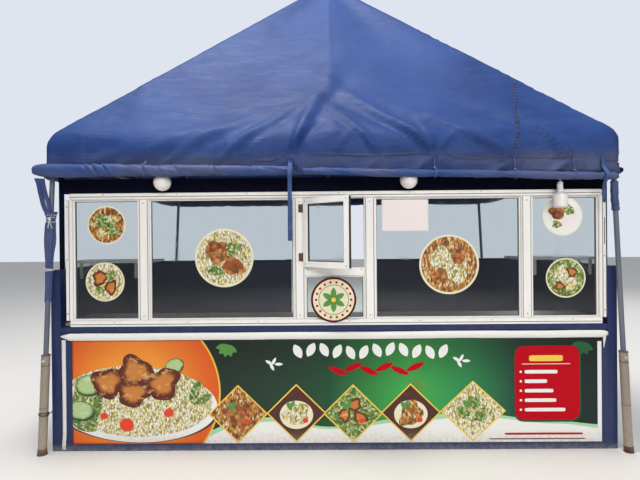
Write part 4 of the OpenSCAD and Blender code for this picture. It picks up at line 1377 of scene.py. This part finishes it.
# x, z, half width and half height of each lump, as shares of the radius
HEAP = ((-0.25, 0.2, 0.42, 0.36, 50), (0.3, -0.28, 0.38, 0.3, 80))
EXTRA = ((0.32, 0.3, 0.27, 0.23, 30), (-0.3, -0.42, 0.24, 0.2, 0))
for k, (x, z, r, ground, heap, extra) in enumerate(DISCS):
    plate = ground == "white_print"
    lumps = {}
    for kind, rows in (("heap", HEAP[:1] if plate else HEAP), ("extra", EXTRA)):
        lumps[kind] = [
            ("lump", x + r * dx, z + r * dz, r * rx, r * rz, turn * k) for dx, dz, rx, rz, turn in rows
        ]
    printed("sticker_%d" % k, [disc(x, z, r)], "cream_print", 0, glass_y)
    printed("sticker_ground_%d" % k, [disc(x, z, r * 0.93)], ground, 1, glass_y)
    if plate:
        printed("sticker_well_%d" % k, [disc(x, z - 0.004, r * 0.68, r * 0.62)], "notice_paper", 2, glass_y)
    printed("sticker_heap_%d" % k, lumps["heap"], heap, 3, glass_y)
    printed("sticker_extra_%d" % k, lumps["extra"], extra, 4, glass_y)

# The badge is a stiff board, so it stands off the glass and passes over the track
badge_x, badge_z, badge_r = 0.007, 1.064, 0.157
badge_y = min(bars_front, low("window_bottom_track").y) - 0.0068


def on_badge(x, z):
    return badge_y


bm = bmesh.new()
add_rod(bm, (badge_x, badge_y, badge_z), (badge_x, badge_y + 0.003, badge_z), badge_r + 0.003, sides=72)
finish_piece("badge_board", bm, "shade_green_print")
printed("badge", [disc(badge_x, badge_z, badge_r)], "cream_print", 0, on_badge)
for n, (share, skin) in enumerate(((0.95, "red"), (0.925, "cream"), (0.68, "leaf"), (0.65, "cream"))):
    printed("badge_ring_%d" % n, [disc(badge_x, badge_z, badge_r * share)], skin + "_print", n + 1, on_badge)
marks = rosette(badge_x, badge_z, 0.124, 0.0088, 0.0088, range(0, 360, 20), "round")
printed("badge_marks", [(*mark[:5], 0) for mark in marks], "red_print", 5, on_badge)
petals = rosette(badge_x, badge_z, 0.045, 0.042, 0.02, range(30, 390, 60))
printed("badge_flower", petals, "leaf_print", 6, on_badge)
printed("badge_heart", [disc(badge_x, badge_z, 0.017)], "yellow_print", 7, on_badge)

NOTICE_LO, NOTICE_W, NOTICE_H = (0.356, 1.545), 0.332, 0.236


def notice_place(u, v):
    curl = 0.009 * max(0.0, abs(u - 0.5) * 2 - 0.55) * (1 - v) ** 2 + 0.0012 * wander(u * 3, v * 3, 1.0)
    x, z = NOTICE_LO[0] + NOTICE_W * u, NOTICE_LO[1] + NOTICE_H * v
    return Vector((x, glass_front - 0.0012 - abs(curl), z))


notice = bent_sheet("notice", 24, 18, (0.332, 0.236), notice_place, "notice_paper", "white_cloth", 0.0004)

# Window frames
MULLIONS = [shift_x - end_mullion, shift_x - serving_x, shift_x + serving_x, shift_x + end_mullion]
jamb_l, jamb_r = low("window_jambs").x, high("window_jambs").x
track_lo, track_hi = low("window_bottom_track"), high("window_bottom_track")
top_lo, top_hi = low("window_top_track"), high("window_top_track")
# The frame's front flanges start and end this far inside the section, and sink this far into it
INSET, SUNK = 0.003, 0.001
FRONT = (0, -1, 0)


def frame_spans(x0, x1, z0, z1, width):
    """Four bars round the inside of an opening, as (x0, x1, z0, z1)"""
    uprights = [(x0, x0 + width, z0, z1), (x1 - width, x1, z0, z1)]
    return uprights + [(x0 + width, x1 - width, z0, z0 + width), (x0 + width, x1 - width, z1 - width, z1)]


beads, gaskets = bmesh.new(), bmesh.new()
uprights = [jamb_l + jamb_w - half_m, *MULLIONS, jamb_r - jamb_w + half_m]
for k, (a, b) in enumerate(zip(uprights, uprights[1:])):
    pane = (a + half_m, b - half_m, bars_low, transom_lo.z if k == 2 else bars_high)
    for bm, width, edge, depths in (
        (beads, 0.011, 0.0015, ((-0.013, -0.0022), (0.0072, 0.018))),
        (gaskets, 0.0145, 0.0005, ((-0.0024, -0.0002), (0.0052, 0.0074))),
    ):
        for y0, y1 in depths:
            for x0, x1, z0, z1 in frame_spans(*pane, width):
                add_block(bm, (x0, glass_front + y0, z0), (x1, glass_front + y1, z1), edge, 1)
finish_piece("glazing_beads", beads, "powder_white", smooth=False)
finish_piece("glazing_gaskets", gaskets, "black_gasket", smooth=False)

# The slot in the right jamb, drawn as a black block on the jamb's face: its black is painted shade for the
# slot's inside
bm = bmesh.new()
bars_run = bars_high - bars_low
slot_z0, slot_z1 = bars_high - 0.40 * bars_run, bars_high - 0.18 * bars_run
add_block(bm, (jamb_r - 0.0155, bars_front - 0.0042, slot_z0), (jamb_r - 0.0095, bars_front, slot_z1), 0.0008)
finish_piece("jamb_slot_shade", bm, "black_gasket", smooth=False)

# Raised flanges with slits between them on the uprights and the tracks, one flange on the transom
flanges, slits = bmesh.new(), bmesh.new()


def front_strip(bm, x0, x1, z0, z1, out, edge=0.0, face=bars_front):
    add_block(bm, (x0, face - out, z0), (x1, face + SUNK, z1), edge)


foot, top = bars_low + INSET, bars_high - INSET
for x in MULLIONS:
    ends = (foot, bars_high - 0.002)
    front_strip(flanges, x - 0.026, x + 0.026, *ends, 0.0035, 0.0016)
    for side in (-1, 1):
        front_strip(flanges, *sorted((x + side * 0.0305, x + side * (half_m - 0.002))), *ends, 0.0022, 0.001)
        front_strip(slits, *sorted((x + side * 0.0262, x + side * 0.0302)), *ends, 0.0009)
for a, b in ((jamb_l, jamb_l + jamb_w), (jamb_r - jamb_w, jamb_r)):
    mid = (a + b) / 2
    front_strip(flanges, a + INSET, mid - INSET, foot, top, 0.0035, 0.0014)
    front_strip(flanges, mid + INSET, b - INSET, foot, top, 0.0035, 0.0014)
    front_strip(slits, mid - 0.002, mid + 0.002, foot, top, 0.001)
for lo, hi in ((track_lo, track_hi), (top_lo, top_hi)):
    x0, x1 = lo.x + INSET, hi.x - INSET
    slit_z0, slit_z1 = lo.z + (hi.z - lo.z) * 0.36, lo.z + (hi.z - lo.z) * 0.47
    front_strip(flanges, x0, x1, lo.z + 0.004, slit_z0, 0.003, 0.0014, lo.y)
    front_strip(flanges, x0, x1, slit_z1, hi.z - 0.004, 0.003, 0.0014, lo.y)
    front_strip(slits, x0, x1, slit_z0, slit_z1, 0.0008, face=lo.y)
x0, x1 = transom_lo.x + 0.002, transom_hi.x - 0.002
front_strip(flanges, x0, x1, transom_lo.z + 0.004, transom_hi.z - 0.004, 0.003, 0.0014)
finish_piece("frame_flanges", flanges, "powder_white", smooth=False)
finish_piece("frame_slits", slits, "slit_grey", smooth=False)


def add_screw(bm, at, out, r=0.0062):
    """Domed screw head with a cross in it, standing out along a direction"""
    turned = Vector(out).normalized().to_track_quat("Z", "Y").to_matrix().to_4x4()
    head = bmesh.ops.create_uvsphere(bm, u_segments=14, v_segments=8, radius=r)["verts"]
    bmesh.ops.scale(bm, vec=(1, 1, 0.42), verts=head)
    for vert in head:
        if vert.co.z > 0.2 * r and (abs(vert.co.x) < 0.22 * r or abs(vert.co.y) < 0.22 * r):
            vert.co.z -= 0.18 * r
    bmesh.ops.transform(bm, matrix=Matrix.Translation(Vector(at)) @ turned, verts=head)


SCREWS = [(x, z) for x in MULLIONS for z in (bars_low + 0.028, bars_high - 0.028)]
SCREWS += [(x, transom_lo.z + 0.047) for x in (MULLIONS[1] + half_m + 0.022, MULLIONS[2] - half_m - 0.022)]
for x in (jamb_l + 0.012, jamb_r - 0.012):
    SCREWS += [(x, z) for z in (bars_low + 0.05, 1.36, bars_high - 0.05)]
bm = bmesh.new()
for x, z in SCREWS:
    add_screw(bm, (x, bars_front - 0.0036, z), FRONT)
for x in (-1.62, -1.1, -0.6, 0.05, 0.55, 1.05, 1.62):
    add_screw(bm, (x, top_lo.y - 0.003, top_hi.z - 0.012), FRONT, 0.0052)
    add_screw(bm, (x + 0.07, track_lo.y - 0.003, track_hi.z - 0.012), FRONT, 0.0052)
finish_piece("frame_screws", bm, "plated_screw")

# The hatch leaf, swung open: s runs across it from the hinge and t out through its thickness
leaf_lo, leaf_hi = low("hatch_leaf"), high("hatch_leaf")
OPEN, LEAF_D, BAR = radians(42), 0.024, 0.042
leaf_way = Vector((cos(OPEN), -sin(OPEN), 0))
leaf_out = Vector((-sin(OPEN), -cos(OPEN), 0))
leaf_hinge = Vector((leaf_lo.x - leaf_out.x * LEAF_D, bars_front, 0))
leaf_w = (leaf_hi.x - leaf_hinge.x) / cos(OPEN)
leaf_z0, leaf_z1 = leaf_lo.z, leaf_hi.z


def on_leaf(s, t, z):
    return leaf_hinge + leaf_way * s + leaf_out * t + Vector((0, 0, z))


def leaf_block(bm, s0, s1, z0, z1, t0, t1, edge=0.0008):
    made = add_block(bm, (s0, t0, z0), (s1, t1, z1))
    for vert in made:
        vert.co = on_leaf(*vert.co)
    ease_edges(bm, made, edge)


ribs, gaskets = bmesh.new(), bmesh.new()
for depth in ((LEAF_D - 0.001, LEAF_D + 0.0025), (-0.0025, 0.001)):
    for span in frame_spans(0.004, leaf_w - 0.004, leaf_z0 + 0.004, leaf_z1 - 0.004, BAR - 0.012):
        leaf_block(ribs, *span, *depth)
for depth in ((LEAF_D / 2 + 0.0028, LEAF_D / 2 + 0.0065), (LEAF_D / 2 - 0.0065, LEAF_D / 2 - 0.0028)):
    for s in (BAR - 0.001, leaf_w - BAR - 0.005):
        leaf_block(gaskets, s, s + 0.006, leaf_z0 + BAR, leaf_z1 - BAR, *depth)
    for z in (leaf_z0 + BAR - 0.001, leaf_z1 - BAR - 0.005):
        leaf_block(gaskets, BAR, leaf_w - BAR, z, z + 0.006, *depth)
leaf_block(gaskets, leaf_w - 0.0004, leaf_w + 0.0058, leaf_z0 + 0.006, leaf_z1 - 0.006, 0.006, 0.019, 0.0015)
finish_piece("leaf_ribs", ribs, "powder_white", smooth=False)
finish_piece("leaf_gaskets", gaskets, "black_gasket", smooth=False)
bm = bmesh.new()
for s in (0.02, leaf_w - 0.02):
    for z in (leaf_z0 + 0.021, leaf_z1 - 0.021):
        add_screw(bm, on_leaf(s, LEAF_D + 0.0027, z), leaf_out, 0.0055)
finish_piece("leaf_screws", bm, "plated_screw")

# Hinges: knuckles with pin heads, and a plate on the mullion
hinge_lo, hinge_hi = low("hatch_hinges"), high("hatch_hinges")
hinge_x, hinge_y = (hinge_lo.x + hinge_hi.x) / 2, (hinge_lo.y + hinge_hi.y) / 2
HINGE_H, KNUCKLES = 0.06, 5
knuckle_h = HINGE_H / KNUCKLES
bm = bmesh.new()


def pin_rod(z0, z1, *sizes):
    add_rod(bm, (hinge_x, hinge_y, z0), (hinge_x, hinge_y, z1), *sizes)


for base in (hinge_lo.z, hinge_hi.z - HINGE_H):
    for k in range(KNUCKLES):
        a = base + knuckle_h * k
        pin_rod(a + 0.0005, a + knuckle_h - 0.0005, 0.0064 if k % 2 else 0.0068, None, 20)
    pin_rod(base - 0.003, base + HINGE_H + 0.003, 0.0034, None, 14)
    for z in (base - 0.004, base + HINGE_H):
        pin_rod(z, z + 0.004, 0.0052, 0.004, 14)
    plate_lo = (hinge_x - 0.033, bars_front - 0.0062, base + 0.001)
    add_block(bm, plate_lo, (hinge_x - 0.004, bars_front - 0.0035, base + 0.059), 0.0008)
    for dz in (0.014, 0.046):
        add_screw(bm, (hinge_x - 0.022, bars_front - 0.0065, base + dz), FRONT, 0.004)
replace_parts(finish_piece("hinge_knuckles", bm, "rusted_steel"), "hatch_hinges")


def turned_shape(name, middle, outline, skin, lean=0.0):
    """A turned shape through (radius, height) points, its middle line leaning to one side"""
    rows = len(outline) - 1

    def place(u, v):
        r, z = outline[min(int(round(v * rows)), rows)]
        a = 2 * pi * u
        return Vector(middle) + Vector((z * sin(lean), 0, z * cos(lean))) + around(a, max(r, 1e-7))

    size = (2 * pi * 0.05, outline[-1][1] - outline[0][1])
    return bent_sheet(name, 40, rows, size, place, skin, "lamp_plastic", closed=True)


# Lamps: outlines as (radius, height)
GLOBE_R, GLOBE_Z = 0.061, 1.9
GLOBE = [(GLOBE_R * sin(radians(a)), -GLOBE_R * cos(radians(a)) * 0.985) for a in range(0, 151, 6)]
NECK = [(0.028, 0.056), (0.027, 0.062), (0.030, 0.066), (0.030, 0.074), (0.022, 0.078), (0.0, 0.079)]
TALL = [(0.0, 0.0), (0.030, 0.001), (0.043, 0.005), (0.0485, 0.013), (0.0495, 0.024), (0.0500, 0.05)]
TALL += [(0.0495, 0.075), (0.0485, 0.086), (0.045, 0.095), (0.038, 0.101), (0.030, 0.106), (0.024, 0.111)]
TALL += [(0.021, 0.118), (0.020, 0.124)]
HOLDER = [(0.0, -0.002), (0.0195, -0.002), (0.0205, 0.002), (0.0205, 0.014), (0.0185, 0.018), (0.0175, 0.034)]
HOLDER += [(0.0195, 0.037), (0.0195, 0.042), (0.012, 0.048), (0.009, 0.058), (0.0, 0.059)]
globe_y = low("lamp_bulbs").y + GLOBE_R
lamp_x, lamp_y = 1.583, low("eave_pipes").y + 0.016
for k, x in enumerate((-1.185, 0.537)):
    globe = turned_shape("globe_%d" % k, (x, globe_y, GLOBE_Z), GLOBE + NECK[:1], "frosted_lamp")
    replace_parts(globe, "lamp_bulbs")
    turned_shape("globe_neck_%d" % k, (x, globe_y, GLOBE_Z), NECK, "lamp_cap")
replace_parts(turned_shape("tall_lamp", (lamp_x, lamp_y, 1.696), TALL, "frosted_lamp"), "lamp_bulbs")
turned_shape("tall_lamp_holder", (lamp_x, lamp_y, 1.818), HOLDER, "lamp_cap", lean=-0.1)
bm = bmesh.new()
for k in range(4):
    add_hoop(bm, (lamp_x, lamp_y, 1.8225 + 0.0045 * k), 0.0208, 0.0012, steps=22)
finish_piece("lamp_ribs", bm, "lamp_cap")
CABLE_Z = 1.876
cable = []
for f in [k / 16 for k in range(17)]:
    z = CABLE_Z + (eave_z - 0.016 - CABLE_Z) * f
    cable.append(Vector((lamp_x - 0.006 + 0.012 * sin(f * 5), lamp_y + 0.003 * sin(f * 8), z)))
hanging_cord("lamp_cable", cable, 0.0032, "black_gasket")

# Legs: rings, bolts and shoes, with the bolts of the corner fittings
leg_joint = high("lower_legs").z
CORNERS = [(sx, sy) for sx in (-1, 1) for sy in (-1, 1)]
RINGS = ((leg_joint - 0.004, 0.0275, 0.0045), (leg_joint - 0.075, 0.0295, 0.0022), (0.33, 0.0295, 0.0016))
# start and end from the leg's middle, radius and number of sides of each part of a bolt
BOLT = ((0.026, 0.037, 0.0085, 6), (0.026, 0.0305, 0.0125, 20), (0.036, 0.044, 0.0042, 12))
rings, bolts, feet, fittings = bmesh.new(), bmesh.new(), bmesh.new(), bmesh.new()
for sx, sy in CORNERS:
    for z, r, thick in RINGS:
        add_hoop(rings, leg_axis(z, sx, sy), r, thick, lambda a: -sx * cos(a) * r * 0.048, 28)
    axis = leg_axis(leg_joint - 0.045, sx, sy)
    for way in (-1, 1):
        for start, end, r, sides in BOLT:
            outward = Vector((0, way, 0))
            add_rod(bolts, axis + outward * start, axis + outward * end, r, sides=sides)
    add_rod(bolts, axis + Vector((0, -0.044, 0.014)), axis + Vector((0, -0.040, -0.014)), 0.0032, sides=8)
    foot = leg_axis(0.0, sx, sy)
    add_rod(feet, foot + Vector((0, 0, 0.0005)), foot + Vector((0, 0, 0.006)), 0.0345, 0.0325, 32)
    add_rod(feet, foot + Vector((0, 0, 0.005)), leg_axis(0.045, sx, sy), 0.0315, 0.0305, 32)
    corner = leg_axis(eave_z, sx, sy)
    to_side, to_end = Vector((-sx, 0, 0)), Vector((0, -sy, 0))
    for out, along in ((to_side, to_end), (to_end, to_side)):
        for d in (0.034, 0.062):
            at = corner + along * d + out * 0.016
            add_rod(fittings, at, at + out * 0.007, 0.0062, sides=6)
    for out in (-to_side, -to_end):
        at = corner + out * 0.019
        add_rod(fittings, at, at + out * 0.0035, 0.0078, 0.006, 6)
finish_piece("leg_rings", rings, "rusted_steel")
finish_piece("leg_bolts", bolts, "plated_screw")
finish_piece("leg_shoes", feet, "rusted_steel")
finish_piece("fitting_bolts", fittings, "plated_screw")

# Rims of the hub, and the bolts under it
bm = bmesh.new()
hub_lo, hub_hi = low("apex_hub"), high("apex_hub")
hub_r = (hub_hi.x - hub_lo.x) / 2
for z in (hub_lo.z + 0.004, hub_lo.z + 0.1):
    add_hoop(bm, (0, mid_y, z), hub_r, 0.0038, steps=48)
for k in range(6):
    at = Vector((0, mid_y, hub_lo.z)) + around(2 * pi * (k + 0.5) / 6, hub_r * 0.62)
    add_rod(bm, at - Vector((0, 0, 0.006)), at + Vector((0, 0, 0.002)), 0.008, sides=6)
finish_piece("hub_rims", bm, "rusted_steel")

# The cord that ties the front left leg to the body
TIE_Z, TIE_R = 0.285, 0.0034
tie_start = leg_axis(TIE_Z) + Vector((0.029, 0, 0))
tie_path = []
for f in [k / 10 for k in range(11)]:
    tie_path.append(tie_start + Vector((0.0235 * f, 0.085 * f, 0.035 * f - 0.012 * sin(pi * f))))
bm = bmesh.new()
for dz in (-0.006, 0.001, 0.008):
    add_hoop(bm, leg_axis(TIE_Z + dz), 0.031, TIE_R, lambda a: 0.005 * sin(a + dz * 300))
add_tube(bm, tie_path, TIE_R)
finish_piece("leg_tie", bm, "black_gasket")

# Body: welds at the front corners, rivets and cover strips on the walls
welds, rivets, strips = bmesh.new(), bmesh.new(), bmesh.new()
sill_lo, sill_hi = low("front_sill_rail"), high("front_sill_rail")
RIVET_R = 0.0052
for sx in (-1, 1):
    x = sx * (abs(sill_lo.x) - 0.001)
    depths = [sill_lo.y + 0.066 * k / 14 for k in range(15)]
    for z in (sill_lo.z, sill_hi.z):
        add_tube(welds, [Vector((x, y, z + 0.001 * sin(y * 900))) for y in depths], 0.003, 6)
    heights = [sill_lo.z + (sill_hi.z - sill_lo.z) * k / 10 for k in range(11)]
    add_tube(welds, [Vector((x, sill_lo.y - 0.0004, z)) for z in heights], 0.0028, 6)
    add_tube(welds, [Vector((x, rail_y, rail_top * k / 8)) for k in range(9)], 0.0028, 6)


def rivet_wall(lo, hi, start, end, steps, columns, at, out):
    """Rivets along a wall's top and foot and up its columns; at(s, z) is a point of its face"""
    for z in (lo.z + 0.03, hi.z - 0.03):
        for k in range(steps + 1):
            add_screw(rivets, at(start + 0.05 + (end - start - 0.1) * k / steps, z), out, RIVET_R)
    for s in columns:
        for k in range(7):
            add_screw(rivets, at(s, lo.z + 0.1 + (hi.z - lo.z - 0.2) * k / 6), out, RIVET_R)


for name, sx in (("side_wall_left", -1), ("side_wall_right", 1)):
    lo, hi = low(name), high(name)
    face = lo.x if sx < 0 else hi.x
    mid = (lo.y + hi.y) / 2
    columns = (lo.y + 0.022, hi.y - 0.022, mid)
    rivet_wall(lo, hi, lo.y, hi.y, 8, columns, lambda s, z: (face, s, z), (sx, 0, 0))
    x0, x1 = sorted((face - sx * 0.0005, face + sx * 0.003))
    add_block(strips, (x0, mid - 0.02, lo.z + 0.004), (x1, mid + 0.02, hi.z - 0.004), 0.001)
for name in ("back_wall_left", "back_wall_right"):
    lo, hi = low(name), high(name)
    columns = (lo.x + 0.022, hi.x - 0.022)
    rivet_wall(lo, hi, lo.x, hi.x, 6, columns, lambda s, z: (s, hi.y, z), (0, 1, 0))
stiles_lo, stiles_hi = low("front_stiles"), high("front_stiles")
for x in (stiles_lo.x + 0.02, stiles_hi.x - 0.021):
    for k in range(6):
        add_screw(rivets, (x, stiles_lo.y, 0.1 + 0.125 * k), FRONT, 0.005)
finish_piece("frame_welds", welds, "navy_enamel")
finish_piece("wall_rivets", rivets, "navy_enamel")
finish_piece("wall_cover_strips", strips, "navy_enamel", smooth=False)

# Plastic caps on the rear and door posts
bm = bmesh.new()
for name in ("rear_posts", "door_posts"):
    lo, hi = low(name), high(name)
    size = hi.y - lo.y
    for x in (lo.x, hi.x - size):
        cap_hi = (x + size + 0.001, hi.y + 0.001, hi.z + 0.004)
        add_block(bm, (x - 0.001, lo.y - 0.001, hi.z - 0.008), cap_hi, 0.003)
finish_piece("post_caps", bm, "black_gasket", smooth=False)

# Edge strip of the counter, and the brackets under the shelves
edges, brackets = bmesh.new(), bmesh.new()
lo, hi = low("counter_top"), high("counter_top")
add_block(edges, (lo.x, hi.y - 0.001, lo.z - 0.001), (hi.x, hi.y + 0.002, hi.z + 0.0008), 0.0008)
lo, hi = low("shelves"), high("shelves")
y0, under = lo.y + 0.001, lo.z - 0.0005
for a, b in ((lo.x, min(MULLIONS[0], lo.x + 0.6)), (max(MULLIONS[3], hi.x - 0.6), hi.x)):
    for x in (a + 0.08, b - 0.08):
        add_block(brackets, (x - 0.012, y0, lo.z - 0.11), (x + 0.012, y0 + 0.003, under), 0.0006)
        add_block(brackets, (x - 0.012, y0, lo.z - 0.0035), (x + 0.012, hi.y - 0.08, under), 0.0006)
        add_rod(brackets, (x, y0 + 0.003, lo.z - 0.1), (x, hi.y - 0.1, lo.z - 0.005), 0.004, sides=10)
finish_piece("board_edges", edges, "powder_white", smooth=False)
finish_piece("shelf_brackets", brackets, "plated_screw", smooth=False)

# The studio's floor
bm = bmesh.new()
bmesh.ops.create_grid(bm, x_segments=1, y_segments=1, size=30)
floor_mesh = bpy.data.meshes.new("studio_floor")
bm.to_mesh(floor_mesh)
bm.free()
floor = bpy.data.objects.new("studio_floor", floor_mesh)
scene.collection.objects.link(floor)
new_skin("studio_floor", 0.0, 0.8, Base_Color=(0.62, 0.6, 0.57))
floor_mesh.materials.append(skins["studio_floor"])
